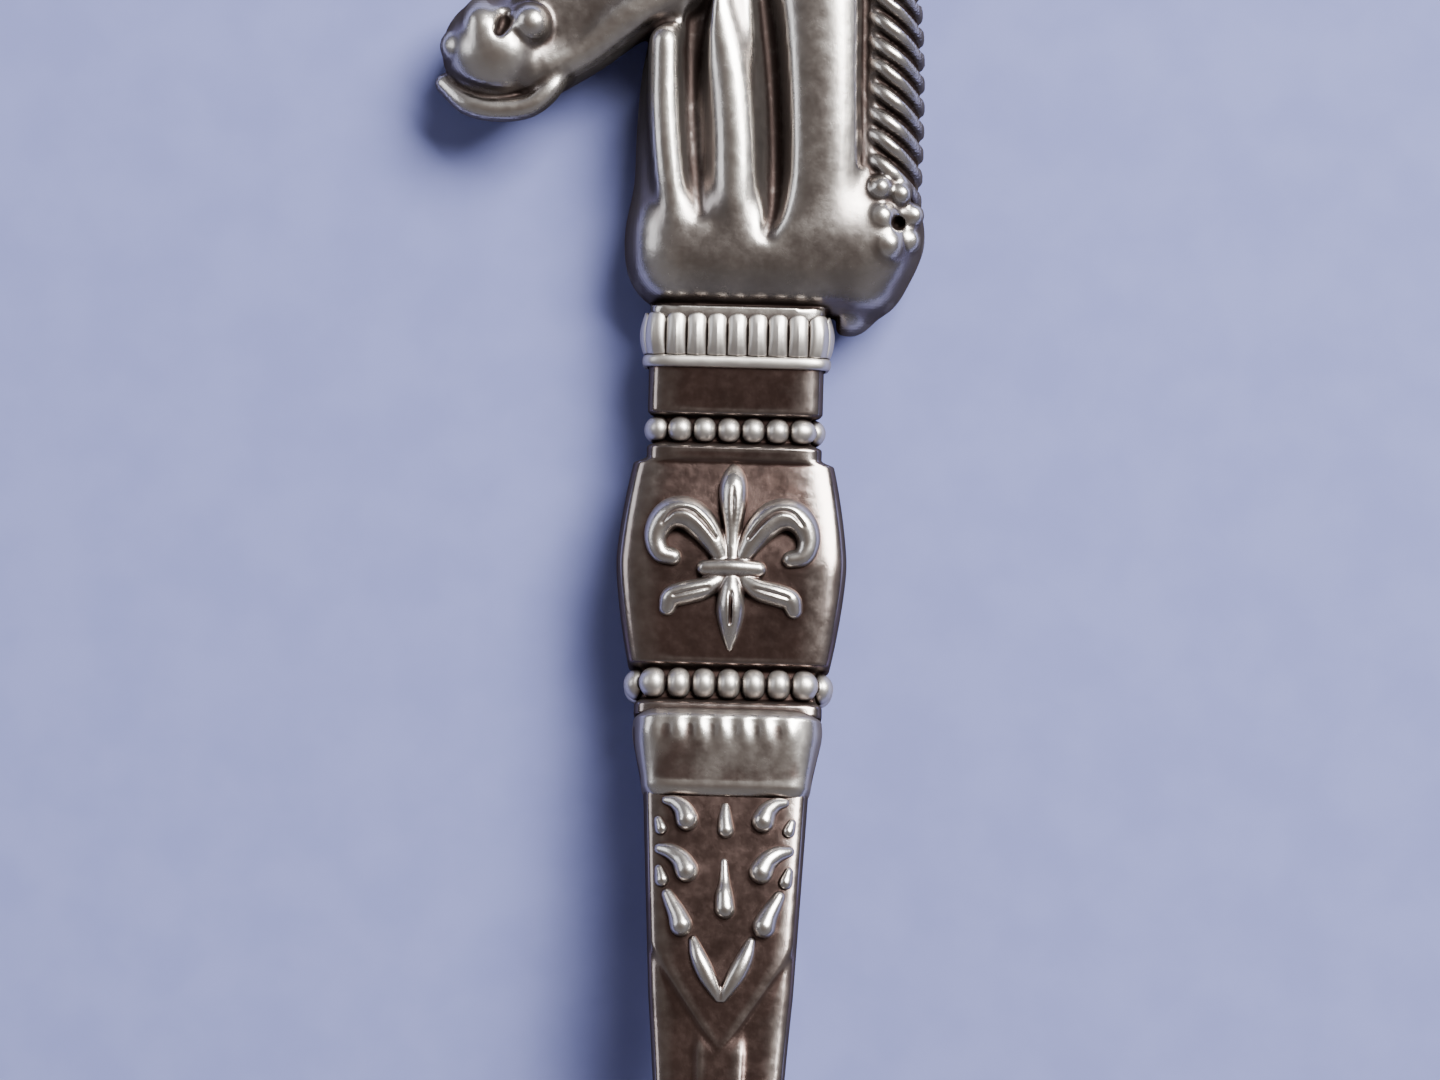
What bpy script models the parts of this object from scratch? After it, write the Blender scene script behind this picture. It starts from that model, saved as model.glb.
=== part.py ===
"""Souvenir spoon: a cast horse-head finial pinned to a decorated handle, with a lapped-on bowl.

Metres, +Z up. The spoon lies face up on a table. Everything is designed about the handle: Y = 0 is
the top edge of the collar, +Y points up the figure and -Y runs down to the bowl, X = 0 is the
handle's middle and Z = 0 is the table. At the end one empty carries the whole spoon sideways, so
that the world's origin is on the table under the middle of the spoon's box.
"""

import math

import bmesh
import bpy
import numpy as np
from mathutils import Matrix, Vector

MM = 0.001

# Driving dimensions, from the tip of the ears down to the tip of the bowl.
FIGURE_HEIGHT = 33.0 * MM
COLLAR_LENGTH = 2.7 * MM
NECK_LENGTH = 2.35 * MM
UPPER_BEAD = 1.45 * MM
FILLET_LENGTH = 0.85 * MM
SHIELD_LENGTH = 10.35 * MM
LOWER_BEAD = 1.7 * MM
GROOVE_LENGTH = 0.8 * MM
MOULDING_LENGTH = 3.5 * MM
PENDANT_LENGTH = 9.65 * MM
SHANK_LENGTH = 29.65 * MM
BOWL_LENGTH = 42.0 * MM

# Widths (across, X) and thicknesses (front to back) of the handle.
NECK_WIDTH, NECK_THICKNESS = 8.7 * MM, 4.2 * MM
SHIELD_WIDTH, SHIELD_END_WIDTH = 11.4 * MM, 9.8 * MM
SHIELD_THICKNESS, SHIELD_END_THICKNESS = 5.0 * MM, 3.9 * MM
MOULDING_WIDTH, MOULDING_FOOT_WIDTH = 9.7 * MM, 8.5 * MM
PENDANT_WIDTH, PENDANT_END_WIDTH, PENDANT_THICKNESS = 8.1 * MM, 7.0 * MM, 3.3 * MM
HEEL_WIDTH, HEEL_THICKNESS = 4.4 * MM, 2.5 * MM
COLLAR_SWELL = 0.6 * MM

# How far the rings are let into the handle, and the film of solder between soldered pieces.
SEAT_DEPTH = 0.55 * MM
MOULDING_SEAT = 0.75 * MM
SOLDER_GAP = 0.05 * MM

# The handle's rise above the table.
REST_HEIGHT = 2.6 * MM
PENDANT_HEIGHT = 7.2 * MM
CROWN_HEIGHT = 9.3 * MM

# The bowl: an egg-shaped outline, widest towards the handle.
BOWL_WIDTH = 27.0 * MM
BOWL_RIM_HEIGHT = 7.6 * MM
BOWL_WALL = 1.1 * MM
BOWL_EGG = 0.16
BOWL_CURVE = 2.4

# The tongue of the handle that laps under the bowl.
LAP_LENGTH = 10.0 * MM
LAP_END_WIDTH, LAP_END_THICKNESS = 1.3 * MM, 0.9 * MM

# The peg that pins the figure to the handle.
PEG_DIAMETER = 2.2 * MM
PEG_LENGTH = 7.0 * MM
PEG_CLEARANCE = 0.05 * MM
PLUG_LENGTH = 1.0 * MM

# Ornament.
SECTION_POWER = 7.0
COLLAR_LEAVES = 24
LEAF_RELIEF = 0.22 * MM
LEAF_SCALLOP = 0.45 * MM
RIM_LENGTH = 0.6 * MM
RING_POINTS = 66
CREASE_ANGLE = math.radians(40)
FIGURE_DESIGN_HEIGHT = 33.0

# Finishes: colour and roughness.
SILVER = ((0.60, 0.58, 0.56), 0.25)
BRASS = ((0.72, 0.55, 0.28), 0.35)

# Where each stretch of the handle ends, counted down from the collar's top edge.
COLLAR_FOOT = -COLLAR_LENGTH
UPPER_SEAT_TOP = COLLAR_FOOT - NECK_LENGTH
UPPER_SEAT_FOOT = UPPER_SEAT_TOP - UPPER_BEAD
SHIELD_TOP = UPPER_SEAT_FOOT - FILLET_LENGTH
SHIELD_FOOT = SHIELD_TOP - SHIELD_LENGTH
LOWER_SEAT_FOOT = SHIELD_FOOT - LOWER_BEAD
MOULDING_TOP = LOWER_SEAT_FOOT - GROOVE_LENGTH
MOULDING_FOOT = MOULDING_TOP - MOULDING_LENGTH
PENDANT_FOOT = MOULDING_FOOT - PENDANT_LENGTH
HEEL = PENDANT_FOOT - SHANK_LENGTH
BOWL_MIDDLE = HEEL - BOWL_LENGTH / 2

# The figure hangs a little below the collar's top edge, clear of the collar's side.
COLLAR_SIDE = (NECK_WIDTH + COLLAR_SWELL) / 2 + LEAF_RELIEF + SOLDER_GAP


def clear_scene():
    for obj in list(bpy.data.objects):
        bpy.data.objects.remove(obj)


def make_collection(name):
    collection = bpy.data.collections.new(name)
    bpy.context.scene.collection.children.link(collection)
    return collection


def make_material(name, colour, roughness):
    material = bpy.data.materials.new(name)
    material.use_nodes = True
    shader = material.node_tree.nodes["Principled BSDF"]
    shader.inputs["Base Color"].default_value = (*colour, 1.0)
    shader.inputs["Metallic"].default_value = 1.0
    shader.inputs["Roughness"].default_value = roughness
    return material


def add_node(name, mesh, finish):
    """A finished piece of the spoon, in the spoon's collection, with its own metal."""
    mesh.shade_smooth()
    mesh.set_sharp_from_angle(angle=CREASE_ANGLE)
    mesh.materials.append(make_material(f"{name}_metal", *finish))
    obj = bpy.data.objects.new(name, mesh)
    SPOON.objects.link(obj)
    obj.parent = SPOON_FRAME
    return obj


def add_cutter(name, mesh):
    """A shape that only cuts or joins others, and isn't a piece of the spoon."""
    obj = bpy.data.objects.new(name, mesh)
    obj.hide_render = True
    obj.display_type = "WIRE"
    CUTTERS.objects.link(obj)
    obj.parent = SPOON_FRAME
    return obj


def boolean(obj, other, operation):
    modifier = obj.modifiers.new(f"{operation.lower()} {other.name}", "BOOLEAN")
    modifier.operation = operation
    modifier.object = other


def settle(obj):
    """Replaces an object's mesh with what its modifiers make of it."""
    graph = bpy.context.evaluated_depsgraph_get()
    mesh = bpy.data.meshes.new_from_object(obj.evaluated_get(graph))
    obj.modifiers.clear()
    obj.data = mesh
    return obj


def mesh_from(bm, name):
    bmesh.ops.recalc_face_normals(bm, faces=bm.faces)
    mesh = bpy.data.meshes.new(name)
    bm.to_mesh(mesh)
    bm.free()
    return mesh


def box_mesh(name, low, high):
    bm = bmesh.new()
    low, high = Vector(low), Vector(high)
    place = Matrix.Translation((low + high) / 2) @ Matrix.Diagonal((*(high - low), 1))
    bmesh.ops.create_cube(bm, size=1, matrix=place)
    return mesh_from(bm, name)


# The line that the handle follows above the table.


def bowl_outside(y, x=0.0):
    """Height of the bowl's underside: zero at the middle of its outline and the rim's height at the edge."""
    along = (y - BOWL_MIDDLE) / (BOWL_LENGTH / 2)
    across = x / (BOWL_WIDTH / 2 * (1 + BOWL_EGG * along))
    return BOWL_RIM_HEIGHT * math.hypot(along, across) ** BOWL_CURVE


def path_points():
    """(y, height) of the handle's middle line, from the collar to the end of the lap."""
    lap_middle, lap_end = HEEL - LAP_LENGTH / 2, HEEL - LAP_LENGTH
    return [
        (2 * COLLAR_FOOT, REST_HEIGHT),
        (PENDANT_FOOT, PENDANT_HEIGHT),
        (HEEL + SHANK_LENGTH * 0.55, CROWN_HEIGHT),
        (HEEL, BOWL_RIM_HEIGHT - HEEL_THICKNESS / 2),
        (lap_middle, bowl_outside(lap_middle) - HEEL_THICKNESS / 4),
        (lap_end, bowl_outside(lap_end) - LAP_END_THICKNESS / 4),
    ]


def path_height(y):
    """Height and slope of the middle line: level beyond its ends, and a smooth cubic between its points."""
    points = path_points()
    if y >= points[0][0]:
        return points[0][1], 0.0
    slopes = [0.0]
    for before, after in zip(points, points[2:]):
        slopes.append((after[1] - before[1]) / (after[0] - before[0]))
    last, end = points[-2:]
    slopes.append((end[1] - last[1]) / (end[0] - last[0]))
    for (y0, z0), (y1, z1), s0, s1 in zip(points, points[1:], slopes, slopes[1:]):
        if y >= y1 or y1 == end[0]:
            span = y1 - y0
            t = (y - y0) / span
            height = (
                z0 * (2 * t**3 - 3 * t**2 + 1)
                + z1 * (3 * t**2 - 2 * t**3)
                + span * (s0 * (t**3 - 2 * t**2 + t) + s1 * (t**3 - t**2))
            )
            slope = (
                (z1 - z0) * (6 * t - 6 * t**2) / span
                + s0 * (3 * t**2 - 4 * t + 1)
                + s1 * (3 * t**2 - 2 * t)
            )
            return height, slope


def on_path(point):
    """Carries a point of the straight design, its Z counted from the middle line, onto the arched handle."""
    x, y, z = point
    height, slope = path_height(y)
    run = math.hypot(1, slope)
    return Vector((x, y - slope * z / run, height + z / run))


def follow_path(mesh):
    for vertex in mesh.vertices:
        vertex.co = on_path(vertex.co)
    return mesh


# Sections and rings of the handle.


def outline(width, thickness, count=RING_POINTS):
    """Points spaced evenly round a rounded-rectangle section, each with its normal: (x, z, nx, nz)."""
    angle = np.linspace(0, 2 * math.pi, 1441)
    c, s = np.cos(angle), np.sin(angle)
    x = width / 2 * np.sign(c) * np.abs(c) ** (2 / SECTION_POWER)
    z = thickness / 2 * np.sign(s) * np.abs(s) ** (2 / SECTION_POWER)
    run = np.concatenate([[0], np.cumsum(np.hypot(np.diff(x), np.diff(z)))])
    at = np.arange(count) / count * run[-1]
    x, z = np.interp(at, run, x), np.interp(at, run, z)
    nx = np.sign(x) * np.abs(2 * x / width) ** (SECTION_POWER - 1) / width
    nz = np.sign(z) * np.abs(2 * z / thickness) ** (SECTION_POWER - 1) / thickness
    length = np.hypot(nx, nz)
    return np.column_stack([x, z, nx / length, nz / length])


def perimeter(width, thickness):
    ring = outline(width, thickness)[:, :2]
    return float(np.hypot(*(ring - np.roll(ring, 1, 0)).T).sum())


def loft(name, rings, closed_ring=False):
    """A mesh through rings of points: capped at its ends, or run back to its first ring."""
    bm = bmesh.new()
    rows = [[bm.verts.new(p) for p in ring] for ring in rings]
    for here, there in zip(rows, rows[1:] + rows[:1]):
        if here is rows[-1] and not closed_ring:
            continue
        for i in range(len(here)):
            j = (i + 1) % len(here)
            bm.faces.new((here[i], here[j], there[j], there[i]))
    if not closed_ring:
        bm.faces.new(rows[0])
        bm.faces.new(rows[-1])
    return mesh_from(bm, name)


def section_ring(y, width, thickness, count=RING_POINTS):
    return [(x, y, z) for x, z, _, _ in outline(width, thickness, count)]


def shield_size(share):
    """Width and thickness of the shield, a share of the way down it: a barrel with a soft crease half way."""
    crease = 1 - math.sqrt((2 * share - 1) ** 2 + 0.01) + 0.1
    swell = (math.sin(math.pi * share) ** 0.8 + max(0, min(1, crease))) / 2
    width = SHIELD_END_WIDTH + (SHIELD_WIDTH - SHIELD_END_WIDTH) * swell
    return width, SHIELD_END_THICKNESS + (SHIELD_THICKNESS - SHIELD_END_THICKNESS) * swell


def front_height(y):
    """How far the front of the shield or the pendant's field stands off the handle's middle line."""
    share = (SHIELD_TOP - y) / SHIELD_LENGTH
    if share > 1:
        return PENDANT_THICKNESS / 2
    return shield_size(max(share, 0))[1] / 2


def shank_size(share):
    """Width and thickness between the pendant's foot and the heel."""
    eased = share * (2 - share)
    width = PENDANT_END_WIDTH + (HEEL_WIDTH - PENDANT_END_WIDTH) * eased
    return width, PENDANT_THICKNESS + (HEEL_THICKNESS - PENDANT_THICKNESS) * share


def stem_sections():
    """(y, width, thickness) down the handle. Two sections at one y make a step, as at each ring's seat."""
    seat = 2 * SEAT_DEPTH
    fillet = SHIELD_END_WIDTH - 2 * SEAT_DEPTH
    sections = [
        (-PLUG_LENGTH - SOLDER_GAP, NECK_WIDTH, NECK_THICKNESS),
        (UPPER_SEAT_TOP, NECK_WIDTH, NECK_THICKNESS),
        (UPPER_SEAT_TOP, NECK_WIDTH - seat, NECK_THICKNESS - seat),
        (UPPER_SEAT_FOOT, NECK_WIDTH - seat, NECK_THICKNESS - seat),
        (UPPER_SEAT_FOOT, fillet, NECK_THICKNESS),
        (SHIELD_TOP, fillet, NECK_THICKNESS),
    ]
    steps = 8
    for i in range(steps + 1):
        share = i / steps
        sections.append((SHIELD_TOP - SHIELD_LENGTH * share, *shield_size(share)))
    lower_seat = (SHIELD_END_WIDTH - seat, SHIELD_END_THICKNESS - seat)
    groove = (SHIELD_END_WIDTH - SEAT_DEPTH, SHIELD_END_THICKNESS)
    moulding_seat = (PENDANT_WIDTH - MOULDING_SEAT, PENDANT_THICKNESS)
    sections += [
        (SHIELD_FOOT, *lower_seat),
        (LOWER_SEAT_FOOT, *lower_seat),
        (LOWER_SEAT_FOOT, *groove),
        (MOULDING_TOP, *groove),
        (MOULDING_TOP, *moulding_seat),
        (MOULDING_FOOT, *moulding_seat),
        (MOULDING_FOOT, PENDANT_WIDTH, PENDANT_THICKNESS + 0.1 * MM),
    ]
    for i in range(1, 5):
        share = i / 4
        width = PENDANT_WIDTH + (PENDANT_END_WIDTH - PENDANT_WIDTH) * share
        sections.append((MOULDING_FOOT - PENDANT_LENGTH * share, width, PENDANT_THICKNESS))
    steps = 8
    for i in range(1, steps + 1):
        sections.append((PENDANT_FOOT - SHANK_LENGTH * i / steps, *shank_size(i / steps)))
    steps = 5
    for i in range(1, steps + 1):
        share = i / steps
        width = HEEL_WIDTH + (LAP_END_WIDTH - HEEL_WIDTH) * share**1.6
        thickness = HEEL_THICKNESS + (LAP_END_THICKNESS - HEEL_THICKNESS) * share
        sections.append((HEEL - LAP_LENGTH * share, width, thickness))
    return sections


def ring_band(name, sections, width, thickness, count=RING_POINTS):
    """A ring round the handle, from the (y, width, thickness) sections of its outside and the bore's size."""
    outside = [section_ring(y, w, t, count) for y, w, t in sections]
    bore = [section_ring(y, width, thickness, count) for y in (sections[-1][0], sections[0][0])]
    return loft(name, outside + bore, closed_ring=True)


# Pieces.


def make_stem():
    rings = [section_ring(*section, count=28) for section in stem_sections()]
    stem = add_node("handle_stem", follow_path(loft("handle_stem", rings)), SILVER)
    bore = peg_mesh("stem_peg_hole", PEG_DIAMETER / 2 + PEG_CLEARANCE, PEG_LENGTH + 2 * PEG_CLEARANCE)
    boolean(stem, add_cutter("stem_peg_hole", bore), "DIFFERENCE")
    boolean(stem, add_cutter("bowl_seat", bowl_seat_mesh()), "DIFFERENCE")
    return stem


def peg_mesh(name, radius, length):
    """A round peg along Y, centred on the joint between the figure and the stem."""
    bm = bmesh.new()
    turn = Matrix.Rotation(math.pi / 2, 4, "X")
    place = Matrix.Translation((0, -PLUG_LENGTH, REST_HEIGHT)) @ turn
    bmesh.ops.create_cone(
        bm, cap_ends=True, segments=20, radius1=radius, radius2=radius, depth=length, matrix=place
    )
    return mesh_from(bm, name)


def bowl_grid(rings, around, offset=0.0):
    """The underside of the bowl as rows of points from its middle to its rim, moved out by offset."""
    rows = []
    for i in range(1, rings + 1):
        share = i / rings
        row = []
        for j in range(around):
            angle = 2 * math.pi * j / around
            along = share * math.cos(angle)
            half_width = BOWL_WIDTH / 2 * (1 + BOWL_EGG * along)
            x = half_width * share * math.sin(angle)
            y = BOWL_MIDDLE + along * BOWL_LENGTH / 2
            row.append(Vector((x, y, BOWL_RIM_HEIGHT * share**BOWL_CURVE)))
        rows.append(row)
    if offset:
        for share, row in zip(range(1, rings + 1), rows):
            slope = BOWL_CURVE * BOWL_RIM_HEIGHT * (share / rings) ** (BOWL_CURVE - 1)
            for j, p in enumerate(row):
                out = Vector((p.x, p.y - BOWL_MIDDLE, 0)).normalized()
                rise = slope / (BOWL_LENGTH / 2)
                row[j] = p + (out * rise - Vector((0, 0, 1))) * offset
    return rows


def make_bowl():
    bm = bmesh.new()
    rows = [[bm.verts.new(p) for p in row] for row in bowl_grid(9, 36)]
    middle = bm.verts.new((0, BOWL_MIDDLE, 0))
    for i in range(len(rows[0])):
        j = (i + 1) % len(rows[0])
        bm.faces.new((middle, rows[0][i], rows[0][j]))
        for inner, outer in zip(rows, rows[1:]):
            bm.faces.new((inner[i], outer[i], outer[j], inner[j]))
    bowl = add_node("bowl", mesh_from(bm, "bowl"), SILVER)
    shell = bowl.modifiers.new("wall", "SOLIDIFY")
    shell.thickness = BOWL_WALL
    shell.offset = -1 if bowl.data.polygons[0].normal.z < 0 else 1
    shell.use_even_offset = True
    return bowl


def bowl_seat_mesh():
    """What the bowl takes out of the stem: all that is above its underside, with the solder film."""
    rows = bowl_grid(9, 36, offset=SOLDER_GAP)
    top = BOWL_RIM_HEIGHT + HEEL_THICKNESS
    lid = [Vector((p.x, p.y, top)) for p in rows[-1]]
    bm = bmesh.new()
    verts = [[bm.verts.new(p) for p in row] for row in [*rows, lid]]
    middle = bm.verts.new((0, BOWL_MIDDLE, -SOLDER_GAP))
    for i in range(len(verts[0])):
        j = (i + 1) % len(verts[0])
        bm.faces.new((middle, verts[0][i], verts[0][j]))
        for inner, outer in zip(verts, verts[1:]):
            bm.faces.new((inner[i], outer[i], outer[j], inner[j]))
    bm.faces.new(verts[-1])
    return mesh_from(bm, "bowl_seat")


def make_collar():
    """A ring of upright leaves over a plain rim. Its top edge is scalloped, leaf by leaf."""
    count = COLLAR_LEAVES * 4
    bore = (NECK_WIDTH + 2 * SOLDER_GAP, NECK_THICKNESS + 2 * SOLDER_GAP)
    swell = COLLAR_SWELL
    leaf = [abs(math.cos(math.pi * i / 4)) for i in range(count)]
    rim_top = COLLAR_FOOT + RIM_LENGTH

    def ring(y, grow, relief=0.0, scallop=0.0):
        points = outline(NECK_WIDTH + grow, NECK_THICKNESS + grow, count)
        return [
            (x + nx * relief * lift, y - scallop * (1 - lift), z + nz * relief * lift)
            for (x, z, nx, nz), lift in zip(points, leaf)
        ]

    outside = [
        ring(0, 0.6 * swell, LEAF_RELIEF, LEAF_SCALLOP),
        ring(rim_top / 2, 0.7 * swell, LEAF_RELIEF),
        ring(rim_top, 0.6 * swell),
        ring(rim_top, swell),
        ring(COLLAR_FOOT, swell),
    ]
    inside = [section_ring(COLLAR_FOOT, *bore, count)]
    top_points = section_ring(0, *bore, count)
    inside.append([(x, y - LEAF_SCALLOP * (1 - lift), z) for (x, y, z), lift in zip(top_points, leaf)])
    mesh = loft("leaf_collar", outside + inside, closed_ring=True)
    return add_node("leaf_collar", follow_path(mesh), SILVER)


def make_beaded_wire(name, top, bead, width, thickness):
    """Beaded wire bent round the handle: a D-section whose size swells and shrinks bead by bead."""
    seat_width, seat_thickness = width + 2 * SOLDER_GAP, thickness + 2 * SOLDER_GAP
    beads = round(perimeter(seat_width + bead / 2, seat_thickness + bead / 2) / bead)
    steps = 5
    turn = [math.radians(a) for a in (-90, -55, -18, 18, 55, 90)]
    radius = bead / 2 - SOLDER_GAP
    rings = []
    for i, (x, z, nx, nz) in enumerate(outline(seat_width, seat_thickness, beads * steps)):
        off = 2 * ((i % steps) / steps) - 1
        size = radius * max(0.42, math.sqrt(1 - (off * 0.98) ** 2))
        y = top - bead / 2
        rings.append(
            [(x + nx * size * math.cos(a), y + size * math.sin(a), z + nz * size * math.cos(a)) for a in turn]
        )
    return add_node(name, follow_path(loft(name, rings, closed_ring=True)), SILVER)


def make_moulding():
    """The cushion below the lower beads: it swells at its top and tapers into the pendant's width."""
    bore = (
        PENDANT_WIDTH - MOULDING_SEAT + 2 * SOLDER_GAP,
        PENDANT_THICKNESS + 2 * SOLDER_GAP,
    )
    top, foot = MOULDING_TOP - SOLDER_GAP, MOULDING_FOOT + SOLDER_GAP
    sections = []
    steps = 7
    for i in range(steps + 1):
        share = i / steps
        taper = MOULDING_WIDTH + (MOULDING_FOOT_WIDTH - MOULDING_WIDTH) * share
        bulge = math.sin(math.pi * (0.12 + 0.8 * share)) ** 0.6
        width = bore[0] + (taper - bore[0]) * bulge
        thickness = bore[1] + (taper - bore[0]) * bulge
        sections.append((top + (foot - top) * share, width, thickness))
    mesh = ring_band("cushion_moulding", sections, *bore, count=40)
    return add_node("cushion_moulding", follow_path(mesh), SILVER)


# Sculpted pieces are strokes: chains of balls joined by cones, melted into one body.


def add_stroke(bm, points, flat=1.0):
    """Adds a chain of balls (x, y, z, radius) joined by cones. flat squashes every ball front to back."""
    squash = Matrix.Diagonal((1, 1, flat, 1))
    balls = [(Vector((x, y, z / flat)), r) for x, y, z, r in points]
    for centre, radius in balls:
        place = squash @ Matrix.Translation(centre)
        bmesh.ops.create_uvsphere(bm, u_segments=14, v_segments=9, radius=radius, matrix=place)
    for (a, ra), (b, rb) in zip(balls, balls[1:]):
        along = b - a
        turn = along.to_track_quat("Z", "Y").to_matrix().to_4x4()
        place = squash @ Matrix.Translation((a + b) / 2) @ turn
        bmesh.ops.create_cone(
            bm,
            cap_ends=True,
            segments=14,
            radius1=ra,
            radius2=rb,
            depth=along.length,
            matrix=place,
        )


def melt(obj, voxel, smooth, keep):
    """Turns overlapping strokes into one smooth skin, and thins its triangles to the share that is kept."""
    remesh = obj.modifiers.new("melt", "REMESH")
    remesh.mode = "VOXEL"
    remesh.voxel_size = voxel
    remesh.use_smooth_shade = True
    relax = obj.modifiers.new("relax", "SMOOTH")
    relax.factor = 0.5
    relax.iterations = smooth
    thin = obj.modifiers.new("thin", "DECIMATE")
    thin.ratio = keep


def scaled(points, scale, lift=0.0):
    return [(x * scale, y * scale, z * scale + lift, r * scale) for x, y, z, r in points]


# The figure, in design millimetres from the collar's top edge and the figure's middle plane.

POLL = (4.5, 29.2)
HEAD_ANGLE = math.radians(40.8)


def on_head(along, towards_face, z, radius):
    """A ball on the head, placed by its distance down the face from the poll and its height off that line."""
    c, s = math.cos(HEAD_ANGLE), math.sin(HEAD_ANGLE)
    x = POLL[0] - c * along - s * towards_face
    y = POLL[1] - s * along + c * towards_face
    return x, y, z, radius


def figure_strokes():
    """(flatness, points) of every stroke of the horse's head and neck."""
    strokes = [
        # The slab of the neck, and the square-cornered foot of the bust.
        (0.4, [(1.4, 6.9, 0, 6.9), (1.8, 11, 0, 7.2), (2.6, 16, 0, 6.1), (3.3, 21, 0, 5), (3.8, 25.5, 0, 4)]),
        (1.0, [(-2.6, 2.3, 0, 2.75), (1.5, 2.1, 0, 2.85), (5.7, 2.6, 0, 2.95)]),
        # Three long muscles down the front of the neck.
        (1.0, [(-3.9, 13.2, 1.7, 1.1), (-3.8, 9, 1.8, 1.2), (-3.2, 4, 1.6, 1.2)]),
        (0.9, [(-1.2, 17, 1.4, 1.5), (-0.2, 11, 1.4, 1.8), (-0.2, 4.2, 1.3, 1.8)]),
        (0.8, [(3.6, 19, 1.1, 2.1), (4.1, 11, 1.1, 2.2), (4.0, 4.6, 1.0, 2.3)]),
        # The crest under the mane.
        (1.1, [(6.9, 4.4, 0, 2.0), (7, 10, 0, 1.8), (6.6, 18, 0, 1.8), (5.6, 24, 0, 1.9), (4.6, 27.6, 0, 2)]),
        # Cheek, the flat of the head, bridge of the nose, muzzle, and lower jaw with its chin.
        (0.74, [on_head(7.6, -4.2, 0, 4.6)]),
        (0.72, [on_head(5, -2.4, 0, 3.6), on_head(12, -2.6, 0, 3.1), on_head(20.5, -2.1, 0, 2.6)]),
        (
            0.95,
            [
                on_head(3.5, 0.1, 0, 2.9),
                on_head(10, -0.2, 0, 2.8),
                on_head(16, -0.6, 0, 2.2),
                on_head(21, -0.4, 0, 2.3),
                on_head(23.7, -0.9, 0, 2.5),
            ],
        ),
        (
            1.0,
            [
                on_head(10, -5.0, 0, 2.4),
                on_head(15, -3.7, 0, 1.8),
                on_head(20, -3.2, 0, 1.5),
                on_head(22.7, -3.8, 0, 1.6),
            ],
        ),
    ]
    for side in (1, -1):
        ear = [(3.9, 28.2, 1.0, 1.3), (4.9, 31.0, 1.2, 0.95), (5.6, 32.7, 1.2, 0.4)]
        strokes.append((1.0, [(x, y, z * side, radius) for x, y, z, radius in ear]))
    locks = 12
    for i in range(locks):
        share = i / (locks - 1)
        x = 6.1 - 1.7 * share**2.5
        y = 7.2 + 20.0 * share
        reach = 2.5 - 0.8 * share
        lock = [(x, y, 1.6, 0.6), (x + reach / 2, y - 0.9, 1.7, 0.7), (x + reach, y - 2.2, 0.9, 0.5)]
        strokes.append((1.0, lock))
    for x, y in ((7.0, 5.4), (8.2, 4.6), (7.2, 3.6)):
        strokes.append((1.0, [(x, y, 1.1, 0.8)]))
    return strokes


def make_figure():
    scale = FIGURE_HEIGHT / FIGURE_DESIGN_HEIGHT
    bm = bmesh.new()
    for flat, points in figure_strokes():
        add_stroke(bm, scaled(points, scale, REST_HEIGHT), flat)
    figure = add_node("horse_head", mesh_from(bm, "horse_head"), SILVER)
    melt(figure, 0.36 * MM, smooth=2, keep=0.14)
    reach = FIGURE_HEIGHT
    foot = SOLDER_GAP
    below = box_mesh("below_figure", (-reach, -reach, -reach), (COLLAR_SIDE, foot, reach))
    table = box_mesh("table_plane", (-reach, -reach, -reach), (reach, 2 * reach, 0))
    boolean(figure, add_cutter("below_figure", below), "DIFFERENCE")
    boolean(figure, add_cutter("table_plane", table), "DIFFERENCE")
    plug_rings = [
        section_ring(y, NECK_WIDTH, NECK_THICKNESS, count=28) for y in (PLUG_LENGTH, -PLUG_LENGTH)
    ]
    plug = follow_path(loft("figure_plug", plug_rings))
    boolean(figure, add_cutter("figure_plug", plug), "UNION")
    hole = peg_mesh(
        "figure_peg_hole", PEG_DIAMETER / 2 + PEG_CLEARANCE, PEG_LENGTH + 2 * PEG_CLEARANCE
    )
    boolean(figure, add_cutter("figure_peg_hole", hole), "DIFFERENCE")
    return figure


def make_relief(name, strokes, top, voxel, keep):
    """An applied ornament: strokes melted together, cut flat behind, and bent onto the handle's front."""
    bm = bmesh.new()
    for flat, points in strokes:
        add_stroke(bm, [(x * MM, top + y * MM, z * MM, r * MM) for x, y, z, r in points], flat)
    relief = add_node(name, mesh_from(bm, name), SILVER)
    melt(relief, voxel, smooth=1, keep=keep)
    reach = SHIELD_LENGTH
    back = box_mesh(
        f"{name}_back", (-reach, top - 2 * reach, -reach), (reach, top + reach, SOLDER_GAP)
    )
    boolean(relief, add_cutter(f"{name}_back", back), "DIFFERENCE")
    for vertex in settle(relief).data.vertices:
        vertex.co.z += front_height(vertex.co.y)
    follow_path(relief.data)
    return relief


def mirrored(strokes):
    """The strokes, and the same ones on the other side of the handle's middle."""
    other = [(flat, [(-x, y, z, r) for x, y, z, r in points]) for flat, points in strokes]
    return strokes + other


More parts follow.
